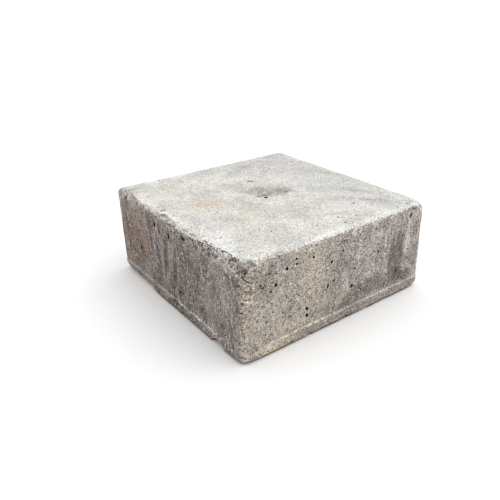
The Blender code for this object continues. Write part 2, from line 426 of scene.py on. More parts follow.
# The larger holes are those of the solid, which are cut again to give them their crisp rims
AIR_HOLES = (
    *AirHole.rows(
        Side.FRONT,
        (276, 285, 2.1, 1.15), (271, 292, 1.5), (332, 262, 2.1), (307, 315.5, 2.2, 1.1),
        (307, 308.5, 1.9, 1.5, -20), (287.4, 269, 1.8, 1.1), (297.2, 264, 1.5),
        (296.8, 259, 1.5, 1.2, 60), (314, 257.2, 1.6, 1.1), (314.6, 253.6, 1, 1.3, 10),
        (306.4, 253.2, 1.2), (269.7, 274, 1.2), (262.8, 288.2, 1.3, 1.3, 60), (343.6, 250.8, 1.4),
        (345, 240.7, 1.4), (359, 230.4, 1), (360.7, 235, 1.2), (365.3, 239, 1.1), (355, 268.5, 1.2, 1.4),
        (379, 251.8, 1.5, 1.2), (411.2, 215.6, 2, 2, 12), (402.6, 236.2, 1.4, 1.6), (407.8, 248.6, 1.2),
        (395.8, 270.2, 1.6, 1.2, 40), (385.6, 217.4, 1.3), (351.2, 285.6, 1.9, 1.7, 65),
        (359.8, 288.5, 1.3), (272.8, 312.2, 1.1), (282.8, 312.6, 1.1), (254.5, 318.8, 1),
        (263, 317.2, 1.1), (327.8, 285.8, 1.5, 2.2, 12), (333.9, 280.2, 1.3, 1.8, 55), (316, 291.6, 1),
        (299, 286, 0.9), (322, 296, 0.9), (286.4, 296, 1, 1.4), (299.5, 295.5, 1), (338.6, 260.6, 1),
        (388, 235, 0.9),
    ),
    *AirHole.rows(
        Side.LEFT,
        (140.2, 221, 2), (154.2, 224.3, 2.6, 1.5, 8), (168, 236, 2.5, 1.7, 6), (141.9, 247.3, 2.4),
        (137.4, 230.6, 1.4), (137.5, 239.3, 1.3), (157.1, 247, 1.7, 1.6), (160.7, 278.5, 1.4),
        (180.6, 292.4, 2), (190, 294.4, 1.4), (202.3, 310.1, 1.8, 1.2), (158.4, 231.5, 1.7, 1.4),
        (182, 238.6, 2, 1.4, 50), (142.2, 262.2, 1.3), (132.6, 250, 1.3), (135.8, 249, 1.1),
        (191.6, 240, 1.4), (226, 335, 1.3), (240.2, 330, 1.1), (174.8, 275.9, 1.4, 1.4),
        (177.8, 278.8, 1.3), (177.1, 285.6, 1.3, 1.4, 40), (186.5, 281.9, 1.2, 1.3, -30),
        (195.5, 291, 1.3, 1.4), (193.2, 296.2, 1.2), (221.6, 324.4, 1.3),
    ),
    *AirHole.rows(
        Side.TOP,
        (271.1, 231.2, 1.1, 1.3, 20), (276.4, 229, 0.9), (294.2, 228.9, 0.8), (317, 225.4, 1.2),
        (265.4, 240.4, 1), (256, 245.4, 0.8), (220.6, 238, 1.2), (337.9, 217.2, 1.1, 1.8, -60),
        (345.3, 222.3, 1.1, 1.6, -60), (356.2, 215.1, 1.1, 1.5, -50), (353.2, 203, 1.4, 2, -60),
        (146.1, 188.1, 1.2), (159.2, 180.7, 1.2), (200, 180.5, 1.2),
    ),
)

SLITS = Slit.rows(
    (246.6, 180.6, 253.8, 182, 3, 2.5), (160, 211.2, 166.4, 209.6, 2.5, 3),
    (203, 240.4, 208, 242.4, 1.4), (395, 206.4, 398.6, 207.6, 1.6), (404, 203.2, 411, 204, 1.5),
    (408, 201.8, 412.6, 200.6, 1.4), (391.4, 226, 390.8, 240, 0.9), (411.6, 222, 410.6, 238, 1),
    (258.6, 284.6, 263.4, 288, 1.1), (238.6, 312.6, 243, 314.4, 1.8, 2),
    (241.4, 356.6, 246.4, 359.4, 1.4), (218.6, 276.6, 221.6, 286, 0.9), (173.4, 244, 176.4, 258, 1),
    (163.6, 256, 166, 272, 1), (181, 228.6, 188, 232.2, 1), (189, 233, 196.6, 236.6, 1.1),
    (205, 243, 213, 247.4, 1.1), (196, 240.4, 204, 244.6, 1.2), (213.4, 250.2, 218.8, 251.8, 1.2),
    (220.6, 250.6, 228, 252.6, 1.7, 2.4), (228, 253.4, 232.4, 255.6, 1.4),
    (233.4, 257.4, 236.6, 260.6, 1.8, 2.2), (241.4, 275, 244.4, 281.4, 1.8, 2.4),
    (243.8, 280, 250, 283.4, 1.4, 2),
)

SCARS = Scar.rows(
    (236.6, 268.2, 3, 4.2, 2, 25), (241.4, 269.6, 2.8, 4.8, 2.2, 10), (244.4, 272, 2.8, 4.8, 2.4, 0),
    (240, 273.2, 3.4, 5.6, 1.9, 30), (246.6, 270.2, 2.2, 3.6, 2, 0), (238.4, 261.2, 2.8, 2.6, 2.4, 0),
    (235.6, 272.6, 2.4, 2, 1.4, 40), (243.6, 277.4, 1.6, 3.4, 2.8, 25), (232.6, 266, 2.6, 1.8, 1.4, 20),
    (247.5, 282.2, 4.2, 2.4, 1.4, -30), (233, 260.5, 7, 2, 2.2, 12), (224.5, 257, 8, 1.8, 2.4, 22),
    (214, 252, 7, 1.6, 2, 22), (244, 259, 4, 2.2, 1.2, 0), (238.5, 287, 2.6, 2.2, 3.2, 10),
    (251.5, 293.5, 3, 1.8, 5, 0), (243.5, 305, 3.2, 2, 3.4, 0), (241.5, 314, 3.4, 2.2, 2, 20),
    (241, 330.5, 2.4, 2.2, 2.6, 0), (243.5, 337.5, 2.2, 2, 2, 0), (239.5, 344.5, 3, 1.4, 3.4, 0),
    (247.5, 351.5, 2, 1.4, 1.8, 0), (183, 239.6, 3.6, 2, 1.7, 30), (191.6, 241.4, 2.6, 1.8, 1.5, 30),
    (178.5, 303.5, 6.5, 2.2, 2.6, 34), (217.8, 336, 2.6, 3, 2.2, 0), (291, 341, 3.2, 2, 1.6, 0),
    (345, 316.6, 5, 2, 2, 0), (394, 294, 4, 2, 1.8, 0),
)

PEBBLES = (
    Pebble((248.0, 289.4), 3.6 * MM, 2.4 * MM),
    Pebble((247.8, 297.8), 3.9 * MM, 2.8 * MM),
    Pebble((255.6, 299.4), 2.0 * MM, 1.6 * MM),
    Pebble((234.6, 291.4), 1.2 * MM, 0.7 * MM),
    Pebble((243.4, 321.5), 2.0 * MM, 1.6 * MM),
    Pebble((249.5, 307.5), 1.7 * MM, 1.2 * MM),
)

FLAKE_ZONES = (
    FlakeZone(-0.148, -0.070, 46, (1.6 * MM, 4.6 * MM), 5.0 * MM),
    FlakeZone(-0.070, 0.060, 18, (1.0 * MM, 2.4 * MM), 2.6 * MM),
    FlakeZone(0.060, 0.148, 26, (1.4 * MM, 3.4 * MM), 4.0 * MM),
)

HIDDEN_HOLES = (
    HiddenHole(Side.RIGHT, 0.180, 0.640, 2.4 * MM),
    HiddenHole(Side.RIGHT, 0.370, 0.420, 2.0 * MM),
    HiddenHole(Side.RIGHT, 0.610, 0.760, 2.6 * MM),
    HiddenHole(Side.RIGHT, 0.820, 0.350, 1.9 * MM),
    HiddenHole(Side.BACK, 0.230, 0.520, 2.2 * MM),
    HiddenHole(Side.BACK, 0.470, 0.790, 2.5 * MM),
    HiddenHole(Side.BACK, 0.690, 0.310, 2.0 * MM),
    HiddenHole(Side.BACK, 0.850, 0.690, 1.9 * MM),
)

ROUGHENINGS = (
    Roughening("unevenness", "all_round", Relief.CLOUDS, 34.0 * MM, 0.55 * MM, 1),
    Roughening("sand", "all_round", Relief.CLOUDS, 2.6 * MM, 0.36 * MM, 2),
    Roughening("mould grain", "left_side", Relief.CLOUDS, 4.4 * MM, 0.50 * MM, 3, 5.0),
    Roughening("coarse sand", "left_side", Relief.CLOUDS, 3.0 * MM, 0.50 * MM, 2),
    Roughening("faint mould grain", "other_sides", Relief.CLOUDS, 5.0 * MM, 0.30 * MM, 2, 9.0),
    Roughening("broken stone", "broken", Relief.CLOUDS, 7.0 * MM, 3.4 * MM, 3),
    Roughening("bared grit", "broken", Relief.CELLS, 4.6 * MM, 1.5 * MM, 1),
)


def select_only(piece: bpy.types.Object) -> None:
    """Make one object the only selected one, and the active one.

    Args:
        piece: The object that the next operators act on.
    """
    bpy.ops.object.select_all(action="DESELECT")
    piece.select_set(True)
    bpy.context.view_layer.objects.active = piece


def merge_loose(piece: bpy.types.Object, distance: float) -> None:
    """Merge the points of a mesh that lie together.

    Args:
        piece: The object whose mesh is merged.
        distance: How near points are that become one.
    """
    select_only(piece)
    bpy.ops.object.mode_set(mode="EDIT")
    bpy.ops.mesh.select_all(action="SELECT")
    bpy.ops.mesh.remove_doubles(threshold=distance)
    bpy.ops.object.mode_set(mode="OBJECT")


def apply_modifier(piece: bpy.types.Object, name: str) -> None:
    """Apply a modifier to its mesh.

    Args:
        piece: The object that has the modifier.
        name: The modifier's name.
    """
    select_only(piece)
    bpy.ops.object.modifier_apply(modifier=name)


def mesh_evenly(piece: bpy.types.Object, voxel: float) -> None:
    """Mesh an object anew with even faces, which also makes its overlapping parts one.

    Args:
        piece: The object to mesh.
        voxel: Side of the new mesh's cells.
    """
    remesh = piece.modifiers.new("even mesh", "REMESH")
    remesh.mode = "VOXEL"
    remesh.voxel_size = voxel
    apply_modifier(piece, remesh.name)


def join_all(pieces: list[bpy.types.Object], name: str) -> bpy.types.Object:
    """Join objects into the first of them.

    Args:
        pieces: The objects to join.
        name: Name of the joined object.

    Returns:
        The joined object.
    """
    select_only(pieces[0])
    for piece in pieces[1:]:
        piece.select_set(True)
    bpy.ops.object.join()
    joined = bpy.context.object
    joined.name = name
    return joined


def points_of(mesh: bpy.types.Mesh) -> np.ndarray:
    """Return a mesh's points as an array of rows of three."""
    flat = np.empty(len(mesh.vertices) * 3)
    mesh.vertices.foreach_get("co", flat)
    return flat.reshape(-1, 3)


@dataclass
class WeatheredBlock:
    """The block as one finely meshed casting.

    Attributes:
        solid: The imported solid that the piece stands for.
        form: Sizes of the block.
        view: The photograph's view, by which its features are placed.
        breakage: How the broken places are shaped.
        weld: How near points of the solid are that become one.
        voxel: Side of the even mesh's cells.
        triangle_budget: Triangles that are left before the pebbles are set and the air holes cut.
        flake_voxel: Side of the cells of the flakes' own mesh.
        seed: Start of the random draws.
    """

    solid: bpy.types.Object
    form: BlockForm
    view: PhotoView
    breakage: Breakage = Breakage()
    weld: float = 0.01 * MM
    voxel: float = 1.05 * MM
    triangle_budget: int = 180_000
    flake_voxel: float = 0.7 * MM
    seed: int = 23

    def build(self) -> bpy.types.Object:
        """Make the piece.

        Returns:
            The piece at the origin, without its pebbles, air holes and materials.
        """
        mesh = self.solid.data.copy()
        self.piece = bpy.data.objects.new("weathered_block", mesh)
        bpy.context.scene.collection.objects.link(self.piece)
        merge_loose(self.piece, self.weld)
        bpy.context.view_layer.update()
        self.break_flakes()
        mesh_evenly(self.piece, self.voxel)
        self.mark_areas()
        for layer in ROUGHENINGS:
            self.roughen(layer)
        self.keep_inside()
        self.thin_out()
        self.piece.data.materials.clear()
        plain = np.zeros(len(self.piece.data.polygons), np.int32)
        self.piece.data.polygons.foreach_set("material_index", plain)
        return self.piece

    def cut(self, tool: bpy.types.Object, operation: str = "DIFFERENCE") -> None:
        """Take a body away from the piece, or add it to the piece, and delete it.

        Args:
            tool: The body, whose parts don't run through each other.
            operation: What is done with it.
        """
        cutting = self.piece.modifiers.new(tool.name, "BOOLEAN")
        cutting.operation = operation
        cutting.object = tool
        cutting.solver = "MANIFOLD"
        cutting.material_mode = "TRANSFER"
        apply_modifier(self.piece, cutting.name)
        bpy.data.objects.remove(tool, do_unlink=True)

    def on_surface(self, pixel: tuple[float, float]) -> tuple[Vector, Matrix]:
        """Return the place on the solid that a pixel shows, and how the surface lies there.

        Args:
            pixel: Place in the photograph's frame.

        Returns:
            The place, and a turn whose second axis faces outwards and whose third points upwards.
        """
        start, ray = self.view.ray(pixel)
        _, place, normal, _ = self.solid.ray_cast(start, ray)
        return place, normal.to_track_quat("Y", "Z").to_matrix()

    def rough_ball(
        self, place: Vector, turn: Matrix, reach: tuple[float, ...], jag: float, seed: int,
    ) -> bpy.types.Object:
        """Return a ball with uneven points, stretched and turned.

        Args:
            place: Its middle.
            turn: How it is turned.
            reach: Half its size each way.
            jag: How far its points are moved.
            seed: Start of the random moves.

        Returns:
            The ball.
        """
        bpy.ops.mesh.primitive_ico_sphere_add(
            subdivisions=self.breakage.ball_levels, radius=1.0, scale=reach, location=place,
            rotation=turn.to_euler(),
        )
        bpy.ops.object.mode_set(mode="EDIT")
        bpy.ops.transform.vertex_random(offset=jag, uniform=self.breakage.ball_evenness, seed=seed)
        bpy.ops.object.mode_set(mode="OBJECT")
        return bpy.context.object

    def set_pebbles(self, stone: bpy.types.Material) -> None:
        """Set the bared pebbles in the hollows that were broken for them.

        Args:
            stone: Material of the pebbles.
        """
        balls = []
        for number, shape in enumerate(PEBBLES):
            place, turn = self.on_surface(shape.pixel)
            reach = tuple(shape.radius * share for share in self.breakage.pebble_shape)
            jag = self.breakage.pebble_jag * shape.radius
            balls.append(self.rough_ball(place - turn.col[1] * shape.sunk, turn, reach, jag, number))
            balls[-1].data.materials.append(stone)
        pebbles = join_all(balls, "pebbles")
        select_only(pebbles)
        bpy.ops.object.shade_smooth()
        self.cut(pebbles, "UNION")

    def break_flakes(self) -> None:
        """Break the scars and small flakes from the ragged arris, the front corner and the foot."""
        draw = random.Random(self.seed)
        low, high, ways = self.form.low, self.form.high, self.breakage
        flakes = []
        for number, scar in enumerate(SCARS):
            place, turn = self.on_surface(scar.pixel)
            turn = turn @ Matrix.Rotation(math.radians(scar.lean), 3, "Y")
            flakes.append(self.rough_ball(place, turn, scar.reach, ways.scar_jag, number))
        for number, shape in enumerate(PEBBLES):
            place, turn = self.on_surface(shape.pixel)
            room = shape.radius + ways.bed_room
            reach = (room * ways.pebble_shape[0], ways.bed_depth, room)
            flakes.append(self.rough_ball(place, turn, reach, ways.bed_jag, number))
        for zone in FLAKE_ZONES:
            for number in range(zone.count):
                along = draw.uniform(zone.start, zone.end)
                drop = abs(draw.gauss(0.0, zone.drop))
                depth = draw.uniform(*ways.flake_depths) * MM
                reach = [draw.uniform(*zone.reach) for _ in range(3)]
                reach[1] *= ways.flake_stretch
                place = Vector((low.x + depth, along, high.z - drop))
                turn = Matrix.Rotation(draw.uniform(-ways.flake_turn, ways.flake_turn), 3, "X")
                flakes.append(self.rough_ball(place, turn, reach, ways.flake_jag, number))
        broken = join_all(flakes, "flakes")
        mesh_evenly(broken, self.flake_voxel)
        self.cut(broken)

    def keep_inside(self) -> None:
        """Bring the points that stand outside the solid's box back to it."""
        mesh = self.piece.data
        inside = np.clip(points_of(mesh), self.form.low, self.form.high)
        mesh.vertices.foreach_set("co", inside.ravel())
        mesh.update()

    def mark_areas(self) -> None:
        """Weigh the points of each area that is roughened in its own way."""
        points = points_of(self.piece.data)
        from_left, from_front, height = (points - np.array(self.form.low)).T
        from_right, from_back, from_top = (np.array(self.form.high) - points).T
        off_floor = Fade.OFF_FLOOR.of(height)
        below_top = Fade.BELOW_TOP.of(from_top)
        left = Fade.SKIN.of(from_left) * below_top
        others = Fade.SKIN.of(np.minimum(from_front, np.minimum(from_right, from_back))) * below_top
        near = Fade.NEAR_CORNER.of(points[:, 1]) + FAR_SHARE * Fade.FAR_CORNER.of(points[:, 1])
        arris = Fade.ARRIS.of(np.hypot(from_left, from_top)) * (ARRIS_LEAST + ARRIS_MORE * near)
        edge_gap = np.hypot(from_left, from_front)
        corner = Fade.CORNER.of(np.hypot(edge_gap, from_top * CORNER_DROP))
        edge = CORNER_EDGE_SHARE * Fade.CORNER_EDGE.of(edge_gap)
        self.weigh("all_round", off_floor)
        self.weigh("left_side", left * off_floor)
        self.weigh("other_sides", others * off_floor)
        self.weigh("broken", np.clip(arris + corner + edge, 0.0, 1.0) * off_floor)

    def weigh(self, name: str, weights: np.ndarray, levels: int = 24) -> None:
        """Write weights to a vertex group, in even levels.

        Args:
            name: Name of the group.
            weights: Weight of each point, 0 to 1.
            levels: How many levels the weights are rounded to.
        """
        group = self.piece.vertex_groups.new(name=name)
        rounded = np.rint(weights * levels).astype(int)
        for level in range(1, levels + 1):
            members = np.flatnonzero(rounded == level)
            if len(members):
                group.add(members.tolist(), level / levels, "REPLACE")

    def roughen(self, layer: Roughening) -> None:
        """Move the faces of one area in and out by a texture.

        Args:
            layer: The roughness to give.
        """
        texture = bpy.data.textures.new(layer.name, layer.relief.value)
        texture.noise_scale = layer.grain
        if layer.relief is Relief.CLOUDS:
            texture.noise_depth = layer.depth
        bpy.ops.object.empty_add(location=(0.0, 0.0, 0.0))
        guide = bpy.context.object
        guide.scale = (1.0, 1.0, layer.upright)
        bpy.context.view_layer.update()
        push = self.piece.modifiers.new(layer.name, "DISPLACE")
        push.texture = texture
        push.texture_coords = "OBJECT"
        push.texture_coords_object = guide
        push.vertex_group = layer.where
        push.strength = layer.swing
        push.mid_level = 0.5
        apply_modifier(self.piece, push.name)
        bpy.data.objects.remove(guide, do_unlink=True)

    def thin_out(self) -> None:
        """Thin the mesh to its budget, most where it is flattest."""
        mesh = self.piece.data
        mesh.calc_loop_triangles()
        thinning = self.piece.modifiers.new("thinning", "DECIMATE")
        thinning.ratio = min(1.0, self.triangle_budget / len(mesh.loop_triangles))
        apply_modifier(self.piece, thinning.name)

    def open_air_holes(self, hole_dirt_shade: bpy.types.Material, dust: bpy.types.Material) -> None:
        """Cut the air holes, the cracks and the pit of the dish.

        Args:
            hole_dirt_shade: Material of the holes' insides: dirt, and painted shade that darkens them beyond
                what the light gives.
            dust: Material of the cracks' insides: dust, and painted shade that darkens them.
        """
        cutters = [self.pit_cutter()]
        for hole in AIR_HOLES:
            place = self.view.on_side(hole.pixel, hole.side, self.form)
            cutters.append(self.hole_cutter(hole.side, place, hole.radius, hole.stretch, hole.lean))
        low, high = self.form.low, self.form.high
        for hole in HIDDEN_HOLES:
            place = self.form.wall_middle(hole.side)
            place += hole.side.across * ((hole.along - 0.5) * (high.x - low.x))
            place.z = low.z + hole.up * self.form.height
            cutters.append(self.hole_cutter(hole.side, place, hole.radius, 1.0, 0.0))
        cracks = [self.slit_cutter(slit) for slit in SLITS]
        # The insides of holes and cracks take dark materials: painted shade, with dirt.
        for cutter in cutters + cracks:
            cutter.data.materials.clear()
            cutter.data.materials.append(dust if cutter in cracks else hole_dirt_shade)
        cutters += cracks
        self.cut(join_all(cutters, "air holes"))
        self.drop_crumbs()

    def drop_crumbs(self) -> None:
        """Delete the crumbs that the cuts left loose: all that doesn't hang on the foot."""
        lowest = int(points_of(self.piece.data)[:, 2].argmin())
        select_only(self.piece)
        bpy.ops.object.mode_set(mode="EDIT")
        bpy.ops.mesh.select_mode(type="VERT")
        bpy.ops.mesh.select_all(action="DESELECT")
        bpy.ops.object.mode_set(mode="OBJECT")
        self.piece.data.vertices[lowest].select = True
        bpy.ops.object.mode_set(mode="EDIT")
        bpy.ops.mesh.select_linked()
        bpy.ops.mesh.select_all(action="INVERT")
        bpy.ops.mesh.delete(type="VERT")
        bpy.ops.object.mode_set(mode="OBJECT")

    def pit_cutter(self) -> bpy.types.Object:
        """Return the body that cuts the blind pit again."""
        middle = Vector((*self.form.dish_middle, self.form.high.z - self.form.dish_depth))
        bpy.ops.mesh.primitive_uv_sphere_add(
            segments=14, ring_count=10, radius=self.form.pit_radius + PIT_CLEARANCE, location=middle,
            scale=(1.0, 1.0, PIT_STRETCH),
        )
        return bpy.context.object

    def hole_cutter(
        self, side: Side, place: Vector, radius: float, stretch: float, lean: float,
    ) -> bpy.types.Object:
        """Return the body that cuts one air hole.

        Args:
            side: Side that the hole is in.
            place: Its middle, on that side.
            radius: Its radius along the side.
            stretch: How many times longer than wide it is.
            lean: Degrees that its length leans from upright.

        Returns:
            A ball, stretched and turned, half sunk in the side.
        """
        basis = Matrix((side.across, side.outward, side.upward)).transposed()
        turned = basis @ Matrix.Rotation(math.radians(lean), 3, "Y")
        bpy.ops.mesh.primitive_uv_sphere_add(
            segments=12, ring_count=8, radius=radius, location=place,
            rotation=turned.to_euler(), scale=(1.0, HOLE_DEPTH, stretch),
        )
        return bpy.context.object

    def slit_cutter(self, slit: Slit) -> bpy.types.Object:
        """Return the body that cuts one crack: a thin blade that is pointed at both ends."""
        start, turn = self.on_surface(slit.start)
        end, _ = self.on_surface(slit.end)
        run = end - start
        outward = turn.col[1] - run * (turn.col[1].dot(run) / run.length_squared)
        turn = Matrix((outward.cross(run), outward, run)).transposed().normalized()
        bpy.ops.mesh.primitive_uv_sphere_add(
            segments=10, ring_count=8, radius=1.0, location=(start + end) / 2,
            rotation=turn.to_euler(), scale=(slit.width / 2, slit.depth, run.length / 2),
        )
        return bpy.context.object

    def write_masks(self, rounds: int = 14, depth: float = 0.5 * MM) -> None:
        """Write how hollow the surface is round each point, as an attribute by which the finish paints shade
        into hollows and light onto ridges.

        Args:
            rounds: How often the surface is evened out to compare it with.
            depth: Depth of a hollow that counts in full.
        """
        mesh = self.piece.data
        points = points_of(mesh)
        ends = np.empty(len(mesh.edges) * 2, np.int32)
        mesh.edges.foreach_get("vertices", ends)
        first, second = ends[0::2], ends[1::2]
        count = len(points)
        shared = np.bincount(ends, minlength=count)[:, None]
        even = points.copy()
        for _ in range(rounds):
            total = np.empty_like(even)
            for axis in range(3):
                total[:, axis] = np.bincount(first, even[second, axis], count)
                total[:, axis] += np.bincount(second, even[first, axis], count)
            even = 0.5 * even + 0.5 * total / np.maximum(shared, 1)
        normals = np.empty(count * 3)
        mesh.vertices.foreach_get("normal", normals)
        sunk = ((even - points) * normals.reshape(-1, 3)).sum(1)
        share = np.clip(0.5 + 0.5 * sunk / depth, 0.0, 1.0)
        mask = mesh.attributes.new(HOLLOW_MASK, "FLOAT", "POINT")
        mask.data.foreach_set("value", share.astype(np.float32))

    def finish(self, sharp_degrees: float = 38.0) -> None:
        """Shade the piece, hang it on the root body and hide the solid that it stands for.

        Args:
            sharp_degrees: Edges that turn by more stay sharp.
        """
        select_only(self.piece)
        bpy.ops.object.shade_smooth_by_angle(angle=math.radians(sharp_degrees))
        self.piece.vertex_groups.clear()
        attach(self.piece, "root")
        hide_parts(SOLID_NODE)


def seen(red: float, green: float, blue: float) -> tuple[float, float, float, float]:
    """Return the shader's value of a colour that is given as the eye sees it.

    Args:
        red: Red, 0 to 255.
        green: Green, 0 to 255.
        blue: Blue, 0 to 255.

    Returns:
        The linear colour with full cover.
    """
    linear = []
    for part in (red, green, blue):
        share = part / 255.0
        linear.append(share / 12.92 if share <= 0.04045 else ((share + 0.055) / 1.055) ** 2.4)
    return (*linear, 1.0)


class Wiring:
    """Adds nodes to one node tree and joins their sockets."""

    def __init__(self, tree: bpy.types.NodeTree) -> None:
        """Keep the tree that is wired."""
        self.tree = tree

    def node(self, kind: str, **settings: object) -> bpy.types.Node:
        """Add a node.

        Args:
            kind: Its type.
            **settings: Values of its own properties.

        Returns:
            The node.
        """
        made = self.tree.nodes.new(kind)
        for name, value in settings.items():
            setattr(made, name, value)
        return made

    def join(self, value: object, socket: bpy.types.NodeSocket) -> None:
        """Feed an input from another node's output, or set it to a plain value."""
        if isinstance(value, bpy.types.NodeSocket):
            self.tree.links.new(value, socket)
        else:
            socket.default_value = value

    def math(self, operation: str, *values: object) -> bpy.types.NodeSocket:
        """Return the result of a sum on single values.

        Args:
            operation: The sum's name in Blender.
            *values: Its terms, plain or from other nodes.

        Returns:
            The output socket.
        """
        made = self.node("ShaderNodeMath", operation=operation)
        for value, socket in zip(values, made.inputs):
            self.join(value, socket)
        return made.outputs[0]

    def chain(self, operation: str, *values: object) -> bpy.types.NodeSocket:
        """Return several values taken together by a sum that takes two at a time.

        Args:
            operation: The sum's name in Blender.
            *values: Its terms, plain or from other nodes.

        Returns:
            The output socket, or the value itself where there is one alone.
        """
        result = values[0]
        for value in values[1:]:
            result = self.math(operation, result, value)
        return result

    def product(self, *values: object) -> bpy.types.NodeSocket:
        """Return several values multiplied together."""
        return self.chain("MULTIPLY", *values)

    def total(self, *values: object) -> bpy.types.NodeSocket:
        """Return several values added together."""
        return self.chain("ADD", *values)

    def minus(self, first: object, second: object) -> bpy.types.NodeSocket:
        """Return the first value less the second."""
        return self.math("SUBTRACT", first, second)

    def between(self, share: object, first: object, second: object) -> bpy.types.NodeSocket:
        """Return a value that runs from the first to the second as a share runs from 0 to 1."""
        return self.math("MULTIPLY_ADD", share, self.minus(second, first), first)

    def vector(self, operation: str, first: object, second: object = None,
               scale: object = None) -> bpy.types.NodeSocket:
        """Return the result of a sum on vectors.

        Args:
            operation: The sum's name in Blender.
            first: First vector.
            second: Second vector, where the sum takes one.
            scale: Single value that the first is scaled by, where the sum takes one.

        Returns:
            The output socket, which is the single value where the sum gives a length.
        """
        made = self.node("ShaderNodeVectorMath", operation=operation)
        self.join(first, made.inputs[0])
        if second is not None:
            self.join(second, made.inputs[1])
        if scale is not None:
            self.join(scale, made.inputs["Scale"])
        return made.outputs["Value" if operation == "LENGTH" else "Vector"]

    def steps(self, place: object, size: object) -> bpy.types.NodeSocket:
        """Return a place counted in steps of one size."""
        return self.vector("SCALE", place, scale=self.math("DIVIDE", 1.0, size))

    def turned(self, kind: str, place: object, **inputs: object) -> bpy.types.NodeSocket:
        """Return a place turned round an axis.

        Args:
            kind: Which axis, by Blender's name for the way of turning.
            place: The place.
            **inputs: The angle, and the axis where the way of turning takes one.

        Returns:
            The output socket.
        """
        made = self.node("ShaderNodeVectorRotate", rotation_type=kind)
        self.join(place, made.inputs["Vector"])
        for name, value in inputs.items():
            self.join(value, made.inputs[name])
        return made.outputs["Vector"]

    def span(self, value: object, start: object, end: object, low: object = 0.0,
             high: object = 1.0) -> bpy.types.NodeSocket:
        """Return a value eased from one range to another.

        Args:
            value: The value.
            start: Where the first range starts.
            end: Where it ends.
            low: What the start becomes.
            high: What the end becomes.

        Returns:
            The output socket.
        """
        made = self.node("ShaderNodeMapRange", interpolation_type="SMOOTHSTEP")
        for entry, socket in zip((value, start, end, low, high), made.inputs):
            self.join(entry, socket)
        return made.outputs[0]

    def coat(self, share: object, under: object, colour: object) -> bpy.types.NodeSocket:
        """Lay a colour over another.

        Args:
            share: How much it covers.
            under: What lies under it.
            colour: The colour, as the eye sees it or from another node.

        Returns:
            The output socket.
        """
        made = self.node("ShaderNodeMix", data_type="RGBA")
        self.join(share, made.inputs[0])
        for entry, socket in ((under, made.inputs[6]), (colour, made.inputs[7])):
            self.join(seen(*entry) if isinstance(entry, tuple) else entry, socket)
        return made.outputs[2]

    def noise(self, place: object, detail: float = 2.0, rough: float = 0.5,
              output: str = "Fac") -> bpy.types.NodeSocket:
        """Return smooth noise of about 0 to 1, whose features are one unit of place across.

        Args:
            place: Where it is read.
            detail: How many finer layers it has.
            rough: How strong they are.
            output: Which output is taken: the single value, or the colour for a value each way.

        Returns:
            The output socket.
        """
        made = self.node("ShaderNodeTexNoise", noise_dimensions="3D")
        self.join(place, made.inputs["Vector"])
        for name, value in (("Scale", 1.0), ("Detail", detail), ("Roughness", rough)):
            made.inputs[name].default_value = value
        return made.outputs[output]

    def cells(self, place: object) -> tuple[bpy.types.NodeSocket, ...]:
        """Read cells of about one unit of place across.

        Args:
            place: Where they are read.

        Returns:
            The distance to the nearest cell's middle, and two random shares of that cell.
        """
        made = self.node("ShaderNodeTexVoronoi", feature="F1")
        self.join(place, made.inputs["Vector"])
        made.inputs["Scale"].default_value = 1.0
        shares = self.node("ShaderNodeSeparateColor")
        self.join(made.outputs["Color"], shares.inputs[0])
        return made.outputs["Distance"], shares.outputs[0], shares.outputs[1]

    def effect(self, group: bpy.types.NodeTree, **values: object) -> bpy.types.NodeSocket:
        """Place a node group and feed its inputs by name.

        Args:
            group: The group.
            **values: Its inputs, named as its sockets are.

        Returns:
            The group's one output.
        """
        made = self.node("ShaderNodeGroup", node_tree=group)
        for name, value in values.items():
            self.join(value, made.inputs[name])
        return made.outputs[0]


def open_group(
    name: str, arrows: tuple[str, ...], numbers: tuple[str, ...],
) -> tuple[Wiring, bpy.types.NodeOutputs, bpy.types.NodeSocket]:
    """Start a node group whose one output is a single value.

    Args:
        name: The effect's name.
        arrows: Names of the inputs that are vectors.
        numbers: Names of the inputs that are single values.

    Returns:
        The wiring of the group, what its inputs give, and the socket that takes its result.
    """
    tree = bpy.data.node_groups.new(name, "ShaderNodeTree")
    for labels, kind in ((arrows, "NodeSocketVector"), (numbers, "NodeSocketFloat")):
        for label in labels:
            tree.interface.new_socket(label, in_out="INPUT", socket_type=kind)
    tree.interface.new_socket("Share", in_out="OUTPUT", socket_type="NodeSocketFloat")
    wires = Wiring(tree)
    given = wires.node("NodeGroupInput").outputs
    return wires, given, wires.node("NodeGroupOutput").inputs["Share"]


def open_material(name: str, gloss: float) -> tuple[bpy.types.Material, Wiring, bpy.types.Node]:
    """Start a material.

    Args:
        name: The material's name.
        gloss: How much it mirrors.

    Returns:
        The material, the wiring of its nodes and its shader.
    """
    made = bpy.data.materials.new(name)
    made.use_nodes = True
    shader = made.node_tree.nodes["Principled BSDF"]
    shader.inputs["Specular IOR Level"].default_value = gloss
    return made, Wiring(made.node_tree), shader


